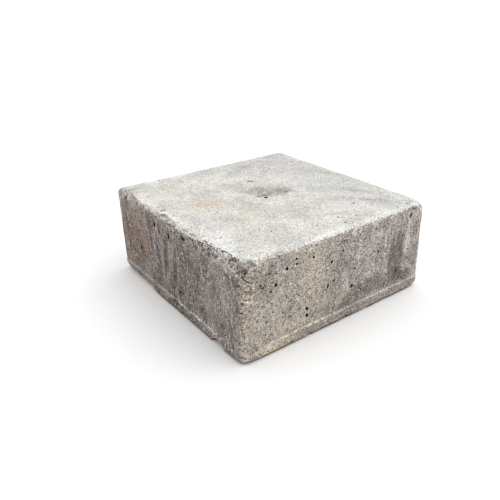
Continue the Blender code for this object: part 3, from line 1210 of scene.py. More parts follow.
class Effects:
    """The effects that the finishes share, each a node group that is built once."""

    def __init__(self) -> None:
        """Build every effect."""
        self.grain = self.sand_grain()
        self.pores = self.fine_pores()
        self.streaks = self.long_marks("mould streaks", "X_AXIS", ("Width", "Width", "Length"), 5.0, 0.34)
        self.trowel = self.long_marks("trowel marks", "Z_AXIS", ("Length", "Width", "Width"), 4.0, 0.36)
        self.mottle = self.weather_mottle()
        self.stain_and_shade = self.placed_stain_and_shade()

    def sand_grain(self) -> bpy.types.NodeTree:
        """Return the effect of sand in the cement: grains whose shade swings by about 1 round 0."""
        wires, given, result = open_group("sand grain", ("Place",), ("Size",))
        place = wires.steps(given["Place"], given["Size"])
        grains = wires.span(wires.cells(place)[1], 0.0, 1.0, -1.0, 1.0)
        clumps = wires.minus(wires.noise(place, rough=0.8), 0.5)
        wires.join(wires.math("MULTIPLY_ADD", clumps, 2.0, grains), result)
        return wires.tree

    def fine_pores(self) -> bpy.types.NodeTree:
        """Return the effect of small open pores: 1 in a pore and 0 between them."""
        wires, given, result = open_group("fine pores", ("Place",), ("Spacing", "Width", "Amount"))
        distance, chance, size = wires.cells(wires.steps(given["Place"], given["Spacing"]))
        width = wires.product(given["Width"], wires.span(size, 0.0, 1.0, 0.5, 1.4))
        spot = wires.span(distance, wires.product(width, 0.55), width, 1.0, 0.0)
        picked = wires.math("LESS_THAN", chance, given["Amount"])
        wires.join(wires.product(spot, picked), result)
        return wires.tree

    def long_marks(
        self, name: str, axis: str, ways: tuple[str, str, str], detail: float, start: float,
    ) -> bpy.types.NodeTree:
        """Return the effect of marks that run one way, as a mould, a trowel and rain leave them: 0 to 1.

        Args:
            name: The effect's name.
            axis: Axis that the marks are turned round.
            ways: Input that gives their size along X, Y and Z.
            detail: How many finer layers they have.
            start: Value of the noise at which a mark starts.

        Returns:
            The node group.
        """
        wires, given, result = open_group(name, ("Place",), ("Width", "Length", "Turn"))
        turned = wires.turned(axis, given["Place"], Angle=given["Turn"])
        counts = wires.node("ShaderNodeCombineXYZ")
        for way, socket in zip(ways, counts.inputs):
            wires.join(wires.math("DIVIDE", 1.0, given[way]), socket)
        ridges = wires.noise(wires.vector("MULTIPLY", turned, counts.outputs[0]), detail, 0.7)
        wires.join(wires.span(ridges, start, 0.66), result)
        return wires.tree

    def weather_mottle(self) -> bpy.types.NodeTree:
        """Return the effect of weather over a wide face: broad soft patches, 0 to 1."""
        wires, given, result = open_group("weather mottle", ("Place",), ("Size",))
        patches = wires.noise(wires.steps(given["Place"], given["Size"]), 6.0, 0.68)
        wires.join(wires.span(patches, 0.34, 0.66), result)
        return wires.tree

    def placed_stain_and_shade(self) -> bpy.types.NodeTree:
        """Return the effect of one placed patch, stain and painted shade alike: 1 in its middle, fading to 0
        at its ragged rim.
        """
        wires, given, result = open_group(
            "placed stain", ("Place", "Middle", "Reach", "Axis"), ("Turn", "Rim", "Ragged", "Core"),
        )
        offset = wires.vector("SUBTRACT", given["Place"], given["Middle"])
        turned = wires.turned("AXIS_ANGLE", offset, Axis=given["Axis"], Angle=given["Turn"])
        distance = wires.vector("LENGTH", wires.vector("DIVIDE", turned, given["Reach"]))
        swing = wires.product(wires.minus(given["Rim"], 0.5), given["Ragged"])
        wires.join(wires.span(wires.total(distance, swing), given["Core"], 1.0, 1.0, 0.0), result)
        return wires.tree


@dataclass(frozen=True)
class Stain:
    """One patch of colour where the photograph shows it: most are stains; some are painted shade, and one a
    painted highlight.

    Attributes:
        side: Side that it is on.
        pixel: Its middle in the photograph's frame.
        across: Half its size along the side.
        along: Half its size up the side, or to the back on the top.
        colour: Its colour as the eye sees it, 0 to 255.
        strength: How much it covers.
        turn: Degrees that it is turned on the side.
        ragged: How far its rim wanders, as a share of its reach.
        core: Share of its reach that it covers in full.
    """

    side: Side
    pixel: tuple[float, float]
    across: float
    along: float
    colour: tuple[float, float, float]
    strength: float
    turn: float = 0.0
    ragged: float = 1.2
    core: float = 0.2

    @classmethod
    def rows(cls, side: Side, *rows: tuple) -> tuple["Stain", ...]:
        """Return one side's patches, each from its pixel, its half sizes in millimetres and the rest."""
        return tuple(cls(side, (x, y), wide * MM, high * MM, *rest) for x, y, wide, high, *rest in rows)

    def reach(self, depth: float) -> Vector:
        """Return half its size along X, Y and Z, with how deep it reaches in from its side."""
        ways = (self.side.across * self.across, self.side.upward * self.along, self.side.outward * depth)
        return Vector([sum(abs(way[axis]) for way in ways) for axis in range(3)])


STAINS_AND_SHADE_PATCHES = (
    # Top: tan patches, painted shade with grime in the dish and a painted highlight on its near lip, greyer
    # by the far edges
    *Stain.rows(
        Side.TOP,
        (208, 204, 62, 46, (212, 196, 178), 0.62, 40, 2.4, 0),
        (232, 222, 40, 30, (214, 203, 188), 0.45, 40, 2.2, 0),
        (168, 192, 44, 30, (214, 203, 190), 0.45, 40, 2.2, 0),
        (262, 210, 56, 34, (208, 200, 186), 0.55, 40, 1.8),
        (262, 236, 50, 50, (206, 203, 196), 0.5, 0, 2),
        (300, 205, 36, 24, (216, 210, 200), 0.4, 40, 1.6),
        # Painted shade with grime on the dish's far wall and round its pit, then a painted highlight on its
        # near lip
        (266, 190, 54, 32, (120, 116, 111), 0.85, 37, 1.6, -0.3),
        (284, 190, 22, 16, (112, 108, 104), 0.7, 37, 1.6, -0.2),
        (262, 193, 16, 13, (78, 73, 69), 0.75, 37, 2.2, -0.2),
        (267, 203, 24, 8, (240, 238, 232), 0.35, 37, 1.2),
        (250, 181.5, 10, 5, (150, 147, 143), 0.45, 10, 1.4),
        (150, 209, 84, 7, (150, 143, 136), 0.7, 90, 2.4),
        (131, 190, 26, 5, (150, 143, 136), 0.6, 0, 2),
        (338, 185, 80, 60, (196, 197, 196), 0.45, 37, 1.8),
        (389, 203, 40, 30, (196, 196, 195), 0.45, 37, 1.8),
        (282, 160, 40, 30, (200, 200, 198), 0.5, 37, 1.8),
        (243, 168, 60, 9, (178, 177, 174), 0.5, -20, 2.4),
        (320, 172, 50, 8, (176, 176, 174), 0.5, 60, 2.4),
        (352, 190, 60, 9, (172, 172, 170), 0.5, 55, 2.4),
        (372, 200, 46, 7, (170, 170, 168), 0.5, 50, 2.4),
        (330, 214, 40, 6, (186, 184, 180), 0.45, 30, 2.4),
        (200, 175, 70, 20, (203, 203, 200), 0.45, 0, 1.8),
        (222, 240, 60, 22, (242, 242, 240), 0.5, -58, 1.2),
    ),
    # Front: grey and beige fields, dark streaks, the dark stain and the pale patch by it
    *Stain.rows(
        Side.FRONT,
        (277, 262, 26, 22, (138, 133, 129), 0.5, 0, 1.6),
        (266, 288, 22, 26, (138, 130, 122), 0.6, 0, 1.2, 0.2),
        (287, 284, 7, 34, (140, 132, 124), 0.5, 0, 1.2, 0.2),
        (279, 266, 4, 22, (188, 183, 178), 0.5, 0, 1.2, 0.2),
        (281, 254, 14, 7, (126, 121, 116), 0.45, 0, 1.6),
        (264, 264, 18, 14, (172, 164, 155), 0.5, 0, 1.4, 0.2),
        (314, 272, 24, 52, (184, 175, 160), 0.65, 0, 1.2, 0.4),
        (341, 268, 9, 42, (128, 122, 119), 0.5, 0, 1.2, 0.3),
        (350, 272, 7, 36, (130, 123, 119), 0.5, 0, 1.2, 0.3),
        (352, 242, 5, 16, (184, 177, 168), 0.6, 0, 1.2, 0.3),
        (360, 252, 4, 46, (190, 185, 180), 0.5, 0, 1.2, 0.2),
        (378, 250, 4, 46, (138, 132, 128), 0.5, 0, 1.2, 0.2),
        (357, 288, 22, 12, (112, 106, 101), 0.62, 0, 1.8),
        (324, 311, 44, 12, (122, 112, 103), 0.65, 6, 1.6, 0.1),
        (370, 248, 18, 26, (178, 171, 163), 0.5, 0, 1.4, 0.2),
        (372, 284, 44, 22, (118, 107, 99), 0.75, 0, 1.2, 0.3),
        (404, 274, 18, 16, (98, 89, 83), 0.75, 0, 1.2, 0.3),
        (350, 300, 30, 16, (112, 101, 93), 0.7, 0, 1.2, 0.3),
        (412, 222, 5, 20, (106, 100, 95), 0.7, 0, 1.2, 0.2),
        (391, 260, 8, 50, (104, 100, 96), 0.8, 0, 1, 0.4),
        (396.5, 256, 9, 50, (104, 99, 95), 0.8, 0, 1, 0.4),
        (401, 250, 6, 36, (98, 93, 89), 0.75, 0, 1, 0.3),
        (396, 275, 17, 20, (88, 81, 76), 0.8, 0, 1.2, 0.3),
        (385.6, 246, 2.4, 34, (206, 203, 199), 0.7, 0, 0.8, 0.3),
        (409, 234, 8, 34, (196, 193, 188), 0.75, 0, 0.9, 0.4),
        (415.5, 252, 5, 30, (132, 127, 122), 0.5, 0, 1.4),
        (258, 322, 18, 26, (178, 168, 154), 0.4, 0, 1.6),
        (298, 322, 60, 10, (200, 187, 168), 0.45, 4, 1.6, 0.2),
        (355, 239, 60, 6, (140, 132, 122), 0.4, 0, 1.4, 0.2),
    ),
    # Front corner: its grey pits, its pebbles, painted shade in its hollows and round its pebbles, and the
    # lime round them
    *Stain.rows(
        Side.FRONT,
        (252, 268, 9, 18, (150, 144, 136), 0.6, 0, 1.4),
        (250, 300, 8, 18, (184, 173, 154), 0.6, 0, 1.6),
        (249, 326, 8, 24, (158, 147, 132), 0.55, 0, 1.6),
    ),
    # Painted shade in the broken corner's hollows and under its knob, with paler patches between
    *Stain.rows(
        Side.LEFT,
        (240.6, 271.6, 11, 8, (58, 51, 47), 0.85, 20, 2, 0.2),
        (243.4, 277.4, 6, 7, (66, 59, 54), 0.75, 0, 1.8, 0.2),
        (234.5, 267.6, 8, 5, (76, 69, 64), 0.75, 20, 2, 0.1),
        (239.8, 263.4, 4, 1.4, (52, 46, 42), 0.8, 15, 0.8, 0.3),
        (235, 262.6, 3, 1.8, (206, 199, 190), 0.75, 20, 1, 0.2),
        (239.4, 266.4, 2.4, 1.5, (196, 188, 178), 0.75, 30, 1, 0.2),
        (237.6, 276.4, 2.4, 1.8, (178, 168, 158), 0.65, 20, 1, 0.2),
        (233, 262.5, 10, 5, (112, 107, 103), 0.7, 20, 1.6),
    ),
    # Painted shade round the bared pebbles, and pale lime round them
    *Stain.rows(
        Side.FRONT,
        (248, 289.8, 5.8, 6, (92, 82, 72), 0.85, 0, 0.5, 0.6),
        (247.8, 298, 5.6, 5.2, (104, 92, 76), 0.8, 0, 0.5, 0.6),
        (247.4, 302.4, 5, 1.6, (232, 220, 198), 0.9, 0, 0.7, 0.4),
        (244.9, 298, 1.4, 4.6, (226, 214, 192), 0.85, 0, 0.7, 0.4),
        (253.6, 286, 2.2, 9, (204, 195, 178), 0.75, 0, 0.8, 0.3),
    ),
    # Painted shade down the left side of the broken corner
    *Stain.rows(
        Side.LEFT,
        (235.4, 285, 6, 11, (84, 77, 73), 0.7, 0, 1.6, 0.2),
    ),
    *Stain.rows(
        Side.FRONT,
        (255.8, 299.4, 2.8, 2.4, (112, 110, 107), 0.75, 0, 0.6, 0.5),
    ),
    # Left side: its smoother brown end, its darkest streaks and its paler ones by the corner
    *Stain.rows(
        Side.LEFT,
        (139, 236, 42, 50, (138, 119, 105), 0.75, 0, 1.6, 0.3),
        (130, 254, 30, 26, (150, 131, 117), 0.45, 0, 1.4, 0.2),
        (125, 203, 22, 9, (100, 93, 87), 0.65, 0, 1.6),
        (159, 256, 8, 40, (72, 64, 59), 0.7, 0, 2, 0),
        (165.4, 258, 6, 40, (66, 59, 55), 0.8, 4, 1.6, 0.1),
        (175, 266, 7, 40, (72, 65, 61), 0.7, 4, 1.8, 0.1),
        (185, 272, 6, 30, (88, 80, 74), 0.3, 4, 2, 0),
        (162.2, 252, 1.8, 26, (164, 154, 145), 0.7, 3, 1.2, 0.1),
        (169.2, 260, 2.4, 38, (176, 168, 160), 0.75, 4, 1.2, 0.1),
        (172.4, 252, 1.6, 24, (170, 162, 155), 0.7, 4, 1.2, 0.1),
        (178.6, 262, 2.6, 30, (170, 162, 155), 0.7, 4, 1.4, 0.1),
        (187.6, 268, 1.8, 26, (158, 150, 143), 0.6, 5, 1.4, 0.1),
        (216, 290, 3, 34, (172, 164, 161), 0.7, 7, 1.6, 0.1),
        (220.4, 296, 1.4, 26, (176, 169, 166), 0.65, 10, 1.2, 0.1),
        (213.2, 272, 1.3, 18, (170, 162, 158), 0.6, 12, 1.2, 0.1),
        (200.6, 280, 1.2, 22, (160, 151, 145), 0.55, 14, 1.4, 0.1),
        (153.4, 262, 1.3, 24, (160, 148, 138), 0.55, 3, 1.4, 0.1),
        (228.6, 300, 1.3, 30, (172, 163, 159), 0.55, 8, 1.4, 0.1),
        (224, 302, 8, 40, (164, 155, 152), 0.6, 7, 2, 0),
        (232, 306, 7, 34, (158, 148, 144), 0.5, 7, 2, 0),
        # Painted shade down the left side of the broken corner
        (229, 284, 6, 14, (92, 85, 82), 0.55, 0, 2, 0),
        (194, 256, 26, 24, (156, 147, 141), 0.6, 0, 1.8, 0.1),
        (188, 284, 24, 44, (146, 137, 130), 0.5, 0, 1.8, 0.2),
        (205, 262, 14, 12, (92, 84, 78), 0.3, 0, 1.8, 0),
        (196, 286, 26, 24, (112, 102, 94), 0.35, 0, 2, 0),
        (222, 326, 24, 18, (96, 86, 78), 0.5, 0, 2, 0),
        (214, 288, 12, 22, (88, 79, 74), 0.6, 0, 1.6, 0.1),
        (205, 312, 22, 10, (94, 84, 77), 0.45, 0, 1.6, 0.1),
        (149, 222, 9, 16, (84, 73, 65), 0.65, 0, 1.6, 0.1),
        (144, 252, 10, 16, (96, 83, 74), 0.55, 0, 1.6, 0.1),
        (183, 239.4, 4, 2.4, (88, 66, 58), 0.75, 0, 0.8),
        (191.8, 241.6, 3, 2.2, (90, 72, 64), 0.7, 0, 0.8),
        (206, 327, 26, 4, (168, 160, 151), 0.6, 0, 2, 0.1),
        (166.5, 293, 18, 7, (176, 167, 156), 0.65, 0, 1.8, 0.1),
        (190, 311.5, 22, 6, (168, 159, 149), 0.55, 0, 1.8, 0.1),
        (178.5, 305.5, 7, 3, (158, 152, 146), 0.55, 0, 1.6),
        (219.5, 337.5, 1.8, 2.2, (236, 232, 226), 0.85, 0, 0.4, 0.5),
    ),
    # Foot: cream by the front corner, tan further along
    *Stain.rows(
        Side.FRONT,
        (268, 347.5, 32, 6.5, (214, 200, 180), 0.7, 0, 1.6, 0.2),
        (292, 337, 18, 5, (206, 188, 164), 0.6, 0, 1.6, 0.1),
        (276, 348.5, 34, 2.6, (214, 176, 136), 0.6, 0, 1.4, 0.1),
        (321, 326, 22, 2.4, (196, 158, 122), 0.6, 0, 1.2),
        (378, 301.5, 30, 2.6, (188, 156, 124), 0.6, 0, 1.2),
    ),
)


class Streaks(Enum):
    """Upright streaks on the sides: width and length in millimetres, and share of the full lean."""

    STREAK = (5.0, 36.0, 0.0)
    DRIFT = (12.0, 34.0, 0.0)
    RUN = (32.0, 160.0, 0.0)
    THREAD = (3.0, 46.0, 1.0)
    SCRAPE = (6.0, 26.0, 1.0)
    WIDE_SCRAPE = (18.0, 60.0, 0.5)


class Spots(Enum):
    """Small spots all over: spacing in millimetres, width as a share of it, and share that is there."""

    PORE = (3.2, 0.24, 0.40)
    WIDE_PORE = (7.0, 0.15, 0.60)
    GRIT = (2.8, 0.26, 0.45)


class Border(Enum):
    """Borders in the finish: where each starts and ends, in metres, on the block or from its edges."""

    NEAR_CORNER = (-50 * MM, -95 * MM)
    FAR_CORNER = (70 * MM, 115 * MM)
    DARK_SIDES = (-4 * MM, 11 * MM)
    BROKEN_BAND = (7 * MM, 14 * MM)
    PINKISH_FRONT = (-60 * MM, 30 * MM)
    WORN_TOP = (40 * MM, 180 * MM)
    LEDGE_OFF_CORNER = (25 * MM, 60 * MM)
    UNDER_OFF_CORNER = (40 * MM, 100 * MM)
    FOOT_EDGE = (3.0 * MM, 4.8 * MM)


class Cover(Enum):
    """How much of a layer shows where what guides it is 0, and where that is 1."""

    FRONT_RUN = (0.30, 0.75)
    FRONT_STREAK = (0.50, 0.85)
    SCRAPE = (0.4, 1.0)
    BAND = (0.5, 0.95)
    PORES = (1.0, 0.45)
    LEDGE = (0.9, 0.62)
    LEDGE_PATCHES = (0.65, 0.25)
    LEDGE_HEIGHT = (2.0 * MM, 3.6 * MM)


@dataclass(frozen=True)
class Tones:
    """Colours and strengths of the concrete's finish.

    Colours are as the eye sees them in the photograph, 0 to 255.

    Attributes:
        bleached: The top.
        bleached_cool: The top's cooler patches.
        beige: The front side's plainer half.
        pinkish: The front side's streaked half.
        front_dark: Darker patches of the front side.
        pale_streak: Lime that ran down the sides.
        brown: The dark left side.
        brown_dark: Its darkest patches.
        brown_pale: Its paler streaks.
        thread_pale: The thinnest and palest of them.
        band: The rough band along the left side's top edge.
        grime_and_shade: Grime, and painted shade, laid into hollows and pores.
        pale_sand: Pale grains of sand.
        brown_sand: Pale grains of sand on the dark sides.
        ledge_highlight: Painted highlight along the ridge over the foot strip.
        foot_edge: The thin dark edge at the bottom.
        brightest: Brightest value that a colour may have.
        top_light: How the top's colours are dimmed for the light that falls on it.
        front_light: The same for the front side.
        left_light: The same for the left side.
        top_grain: How much the sand grains of the top differ in shade.
        front_grain: The same for the front side.
        left_grain: The same for the left side.
        front_drift: How much the front's drifts cover.
        left_drift: The same for the left side's.
        left_run: How much the left side's wide runs cover.
        wide_scrape: The same for its wide scrapes.
        thread: The same for its pale threads.
        broad_blotch: The same for the top's broad patches.
        grit: The same for the pale grains.
        fine_pore: The same for the finest pores.
        hollow_shade_and_grime: The same for the painted shade and grime in hollows.
        streak_lean_degrees: How far the left side's streaks lean from upright.
        rim_fineness: Features of the patches' ragged rims in a metre.
        bend_fineness: Bends of the streaks in a metre.
        wander: How far the borders of the areas wander.
        near_reach: How far the top's border draws back by the broken corner.
        far_reach: The same by the far corner of the left side.
        overhang: How far the top's colour hangs over its edge elsewhere.
        softness: How soft the top's border is.
        far_softness: How much softer it is by the far corner.
        bend: How far the streaks bend.
        patch_depth: How deep a patch reaches in from its side.
        bump: Height of the grain's finest relief.
    """

    bleached: tuple[float, float, float] = (238, 235, 229)
    bleached_cool: tuple[float, float, float] = (170, 169, 165)
    beige: tuple[float, float, float] = (174, 165, 152)
    pinkish: tuple[float, float, float] = (166, 157, 151)
    front_dark: tuple[float, float, float] = (124, 116, 109)
    pale_streak: tuple[float, float, float] = (198, 191, 184)
    brown: tuple[float, float, float] = (119, 106, 98)
    brown_dark: tuple[float, float, float] = (78, 69, 62)
    brown_pale: tuple[float, float, float] = (162, 152, 145)
    thread_pale: tuple[float, float, float] = (176, 168, 162)
    band: tuple[float, float, float] = (178, 171, 163)
    grime_and_shade: tuple[float, float, float] = (60, 54, 50)
    pale_sand: tuple[float, float, float] = (236, 233, 228)
    brown_sand: tuple[float, float, float] = (214, 206, 198)
    ledge_highlight: tuple[float, float, float] = (224, 217, 207)
    foot_edge: tuple[float, float, float] = (58, 43, 32)
    brightest: float = 0.92
    top_light: float = 0.925
    front_light: float = 0.98
    left_light: float = 0.94
    top_grain: float = 0.34
    front_grain: float = 0.52
    left_grain: float = 0.66
    front_drift: float = 0.55
    left_drift: float = 0.75
    left_run: float = 0.75
    wide_scrape: float = 0.60
    thread: float = 0.95
    broad_blotch: float = 0.55
    grit: float = 0.55
    fine_pore: float = 0.8
    hollow_shade_and_grime: float = 0.50
    streak_lean_degrees: float = 12.0
    rim_fineness: float = 130.0
    bend_fineness: float = 90.0
    wander: float = 16.0 * MM
    near_reach: float = 10.0 * MM
    far_reach: float = 12.0 * MM
    overhang: float = 2.5 * MM
    softness: float = 2.6 * MM
    far_softness: float = 3.0 * MM
    bend: float = 12.0 * MM
    patch_depth: float = 12.0 * MM
    bump: float = 0.40 * MM


class WeatheredConcrete:
    """Finish of the block: bleached on top, beige and grey in front, dark and streaked at the left."""

    def __init__(self, form: BlockForm, view: PhotoView, effects: Effects) -> None:
        """Start the material, and lay out the patterns and the areas that its colours follow.

        Args:
            form: Sizes of the block.
            view: The photograph's view, by which the patches are placed.
            effects: The shared effects.
        """
        self.form, self.view, self.effects, self.tones = form, view, effects, Tones()
        self.material, self.wires, self.shader = open_material("weathered_concrete", 0.25)
        wires, tones = self.wires, self.tones
        self.place = wires.node("ShaderNodeTexCoord").outputs["Object"]
        self.hollow = wires.node("ShaderNodeAttribute", attribute_name=HOLLOW_MASK).outputs["Fac"]
        parts = wires.node("ShaderNodeSeparateXYZ")
        wires.join(self.place, parts.inputs[0])
        self.x, self.y, self.z = parts.outputs
        self.rim = wires.noise(wires.vector("SCALE", self.place, scale=tones.rim_fineness), 5.0, 0.7)
        self.wander = wires.product(wires.minus(self.rim, 0.5), tones.wander)
        bend = wires.noise(wires.vector("SCALE", self.place, scale=tones.bend_fineness), output="Color")
        bend = wires.vector("SCALE", wires.vector("SUBTRACT", bend, (0.5, 0.5, 0.5)), scale=tones.bend)
        self.bent = wires.vector("ADD", self.place, bend)
        upright = wires.vector("MULTIPLY", self.place, (1.0, 1.0, 0.85))
        self.grain = wires.effect(effects.grain, Place=upright, Size=0.95 * MM)
        self.clump = wires.effect(effects.grain, Place=self.place, Size=3.0 * MM)
        self.mottle = wires.effect(effects.mottle, Place=self.place, Size=30 * MM)
        self.patches = wires.effect(effects.mottle, Place=self.bent, Size=12 * MM)
        self.fine_mottle = wires.effect(effects.mottle, Place=self.place, Size=5 * MM)
        self.drift = self.streaks(Streaks.DRIFT)
        self.run = self.streaks(Streaks.RUN)
        self.from_left = wires.minus(self.x, form.low.x)
        self.from_front = wires.minus(self.y, form.low.y)
        self.corner_gap = wires.total(self.from_left, self.from_front)
        self.lay_areas()

    def lay_areas(self) -> None:
        """Lay out where the block is bleached, where it is dark and where its edge is broken."""
        wires, tones = self.wires, self.tones
        from_right = wires.minus(self.form.high.x, self.x)
        from_back = wires.minus(self.form.high.y, self.y)
        from_top = wires.minus(self.form.high.z, self.z)
        near = wires.span(self.y, *Border.NEAR_CORNER.value)
        far = wires.span(self.y, *Border.FAR_CORNER.value)
        reach = wires.total(wires.product(near, tones.near_reach), wires.product(far, tones.far_reach))
        reach = wires.minus(reach, tones.overhang)
        ragged_left = wires.minus(self.from_left, reach)
        nearest = wires.chain("MINIMUM", ragged_left, self.from_front, from_right, from_back)
        over = wires.total(wires.minus(nearest, from_top), wires.product(self.wander, 0.30))
        over = wires.math("MULTIPLY_ADD", self.grain, 0.5 * MM, over)
        softness = wires.math("MULTIPLY_ADD", far, tones.far_softness, tones.softness)
        self.top = wires.span(over, wires.product(softness, -1.0), softness)
        dark_gap = wires.math("MINIMUM", self.from_left, from_back)
        light_gap = wires.math("MINIMUM", self.from_front, from_right)
        turn = wires.total(wires.minus(light_gap, dark_gap), self.wander)
        self.dark = wires.span(turn, *Border.DARK_SIDES.value)
        edge = wires.total(self.from_left, from_top, self.wander)
        edge = wires.minus(edge, wires.product(reach, 1.2))
        edge = wires.math("MULTIPLY_ADD", self.grain, 1.4 * MM, edge)
        self.band = wires.span(edge, *Border.BROKEN_BAND.value, 1.0, 0.0)

    def streaks(self, kind: Streaks) -> bpy.types.NodeSocket:
        """Return how much of one kind of streaks each place has, 0 to 1."""
        width, length, lean = kind.value
        return self.wires.effect(
            self.effects.streaks, Place=self.bent, Width=width * MM, Length=length * MM,
            Turn=math.radians(lean * self.tones.streak_lean_degrees),
        )

    def spots(self, kind: Spots) -> bpy.types.NodeSocket:
        """Return how much of one kind of spots each place has, 0 to 1."""
        spacing, width, amount = kind.value
        return self.wires.effect(
            self.effects.pores, Place=self.place, Spacing=spacing * MM, Width=width, Amount=amount,
        )

    def cover(self, kind: Cover, guide: bpy.types.NodeSocket) -> bpy.types.NodeSocket:
        """Return how much of a layer shows by what guides it."""
        return self.wires.span(guide, 0.0, 1.0, *kind.value)

    def front(self) -> bpy.types.NodeSocket:
        """Return the colour of the light sides."""
        wires, tones = self.wires, self.tones
        rightward = wires.span(self.x, *Border.PINKISH_FRONT.value)
        colour = wires.coat(rightward, tones.beige, tones.pinkish)
        colour = wires.coat(wires.product(self.drift, tones.front_drift), colour, tones.front_dark)
        run = wires.product(self.run, self.cover(Cover.FRONT_RUN, rightward))
        colour = wires.coat(run, colour, tones.front_dark)
        streak = wires.product(self.streaks(Streaks.STREAK), wires.span(self.mottle, 0.2, 0.8, 0.2, 1.0),
                               self.cover(Cover.FRONT_STREAK, rightward))
        return wires.coat(streak, colour, tones.pale_streak)

    def left(self) -> bpy.types.NodeSocket:
        """Return the colour of the dark sides."""
        wires, tones = self.wires, self.tones
        scrape = wires.product(self.streaks(Streaks.SCRAPE), self.cover(Cover.SCRAPE, self.fine_mottle))
        thread = wires.span(self.streaks(Streaks.THREAD), 0.55, 1.0)
        colour = wires.coat(wires.product(self.drift, tones.left_drift), tones.brown, tones.brown_dark)
        for share, tone in (
            (wires.product(self.streaks(Streaks.WIDE_SCRAPE), tones.wide_scrape), tones.brown_pale),
            (scrape, tones.brown_pale),
            (wires.product(self.run, tones.left_run), tones.brown_dark),
            (wires.product(thread, tones.thread), tones.thread_pale),
        ):
            colour = wires.coat(share, colour, tone)
        return colour

    def bleached(self) -> bpy.types.NodeSocket:
        """Return the colour of the top."""
        wires, tones = self.wires, self.tones
        trowel = wires.effect(self.effects.trowel, Place=self.bent, Width=2.4 * MM, Length=18 * MM,
                              Turn=math.radians(self.view.heading_degrees))
        worn = wires.span(wires.total(self.x, self.y), *Border.WORN_TOP.value, 0.35, 0.95)
        broad = wires.product(self.mottle, tones.broad_blotch)
        blotch = wires.math("MAXIMUM", broad, wires.product(trowel, worn))
        return wires.coat(blotch, tones.bleached, tones.bleached_cool)

    def ledge(self) -> bpy.types.NodeSocket:
        """Return how much painted highlight lies along the ridge over the foot strip, 0 to 1."""
        wires = self.wires
        gap = wires.math("ABSOLUTE", wires.minus(self.z, self.form.strip_height))
        gap = wires.total(gap, wires.product(self.wander, 0.25))
        height = self.cover(Cover.LEDGE_HEIGHT, self.dark)
        share = wires.span(gap, 0.4 * MM, height, self.cover(Cover.LEDGE, self.dark), 0.0)
        patchy = wires.span(self.patches, 0.1, 0.9, 1.0, self.cover(Cover.LEDGE_PATCHES, self.dark))
        return wires.product(share, patchy, wires.span(self.corner_gap, *Border.LEDGE_OFF_CORNER.value))

    def stained_and_shaded(self, colour: bpy.types.NodeSocket) -> bpy.types.NodeSocket:
        """Lay every patch over a colour: the stains, and the painted shade and highlight.

        Args:
            colour: What lies under the patches.

        Returns:
            The output socket.
        """
        for stain_and_shade in STAINS_AND_SHADE_PATCHES:
            share = self.wires.effect(
                self.effects.stain_and_shade, Place=self.place, Reach=stain_and_shade.reach(self.tones.patch_depth),
                Middle=self.view.on_side(stain_and_shade.pixel, stain_and_shade.side, self.form), Axis=stain_and_shade.side.outward,
                Turn=math.radians(stain_and_shade.turn), Rim=self.rim, Ragged=stain_and_shade.ragged, Core=stain_and_shade.core,
            )
            colour = self.wires.coat(self.wires.product(share, stain_and_shade.strength), colour, stain_and_shade.colour)
        return colour

    def footed(self, colour: bpy.types.NodeSocket) -> bpy.types.NodeSocket:
        """Darken a colour with painted shade just under the ledge, and most at the lower edge of the foot
        strip.

        Args:
            colour: What lies under.

        Returns:
            The output socket.
        """
        wires, strip = self.wires, self.form.strip_height
        # Painted shade: a band just under the ledge is darkened towards the front's dark tone.
        under = wires.product(wires.span(self.z, strip - 3 * MM, strip, 0.45, 0.0),
                              wires.span(self.corner_gap, *Border.UNDER_OFF_CORNER.value))
        colour = wires.coat(under, colour, self.tones.front_dark)
        height = wires.total(self.z, wires.product(self.wander, 0.25))
        edge = wires.span(height, *Border.FOOT_EDGE.value, 0.95, 0.0)
        return wires.coat(edge, colour, self.tones.foot_edge)

    def shade(self) -> bpy.types.NodeSocket:
        """Return how bright the sand grains, the painted light on ridges and the light make each place."""
        wires, tones = self.wires, self.tones
        smoothness = wires.span(wires.math("MAXIMUM", self.drift, self.run), 0.1, 0.9, 0.75, 1.25)
        side_grain = wires.product(wires.between(self.dark, tones.front_grain, tones.left_grain), smoothness)
        top_grain = wires.span(self.patches, 0.15, 0.85, 1.25 * tones.top_grain, 0.65 * tones.top_grain)
        sand = wires.total(self.grain, wires.product(self.clump, 0.10))
        sand = wires.product(sand, wires.between(self.top, side_grain, top_grain))
        shade = wires.math("MAXIMUM", wires.total(sand, 1.0), 0.12)
        # Painted light: ridges, where the surface stands proud, are made up to a fifth brighter.
        shade = wires.product(shade, wires.span(self.hollow, 0.0, 0.5, 1.20, 1.0))
        side_light = wires.between(self.dark, tones.front_light, tones.left_light)
        return wires.product(shade, wires.between(self.top, side_light, tones.top_light))

    def build(self) -> bpy.types.Material:
        """Lay the colours over each other, and give the surface its fine relief.

        Returns:
            The material.
        """
        wires, tones = self.wires, self.tones
        sides = wires.coat(self.dark, self.front(), self.left())
        band = wires.product(self.band, self.cover(Cover.BAND, self.fine_mottle))
        colour = wires.coat(self.top, wires.coat(band, sides, tones.band), self.bleached())
        # The ridge over the foot strip gets a painted highlight, as if it caught light from above.
        colour = self.footed(self.stained_and_shaded(wires.coat(self.ledge(), colour, tones.ledge_highlight)))
        # Painted shade with grime: the deepest hollows are darkened towards the grime colour.
        colour = wires.coat(wires.span(self.hollow, 0.58, 1.0, 0.0, tones.hollow_shade_and_grime), colour, tones.grime_and_shade)
        pale = wires.coat(self.dark, tones.pale_sand, tones.brown_sand)
        colour = wires.coat(wires.product(self.spots(Spots.GRIT), tones.grit), colour, pale)
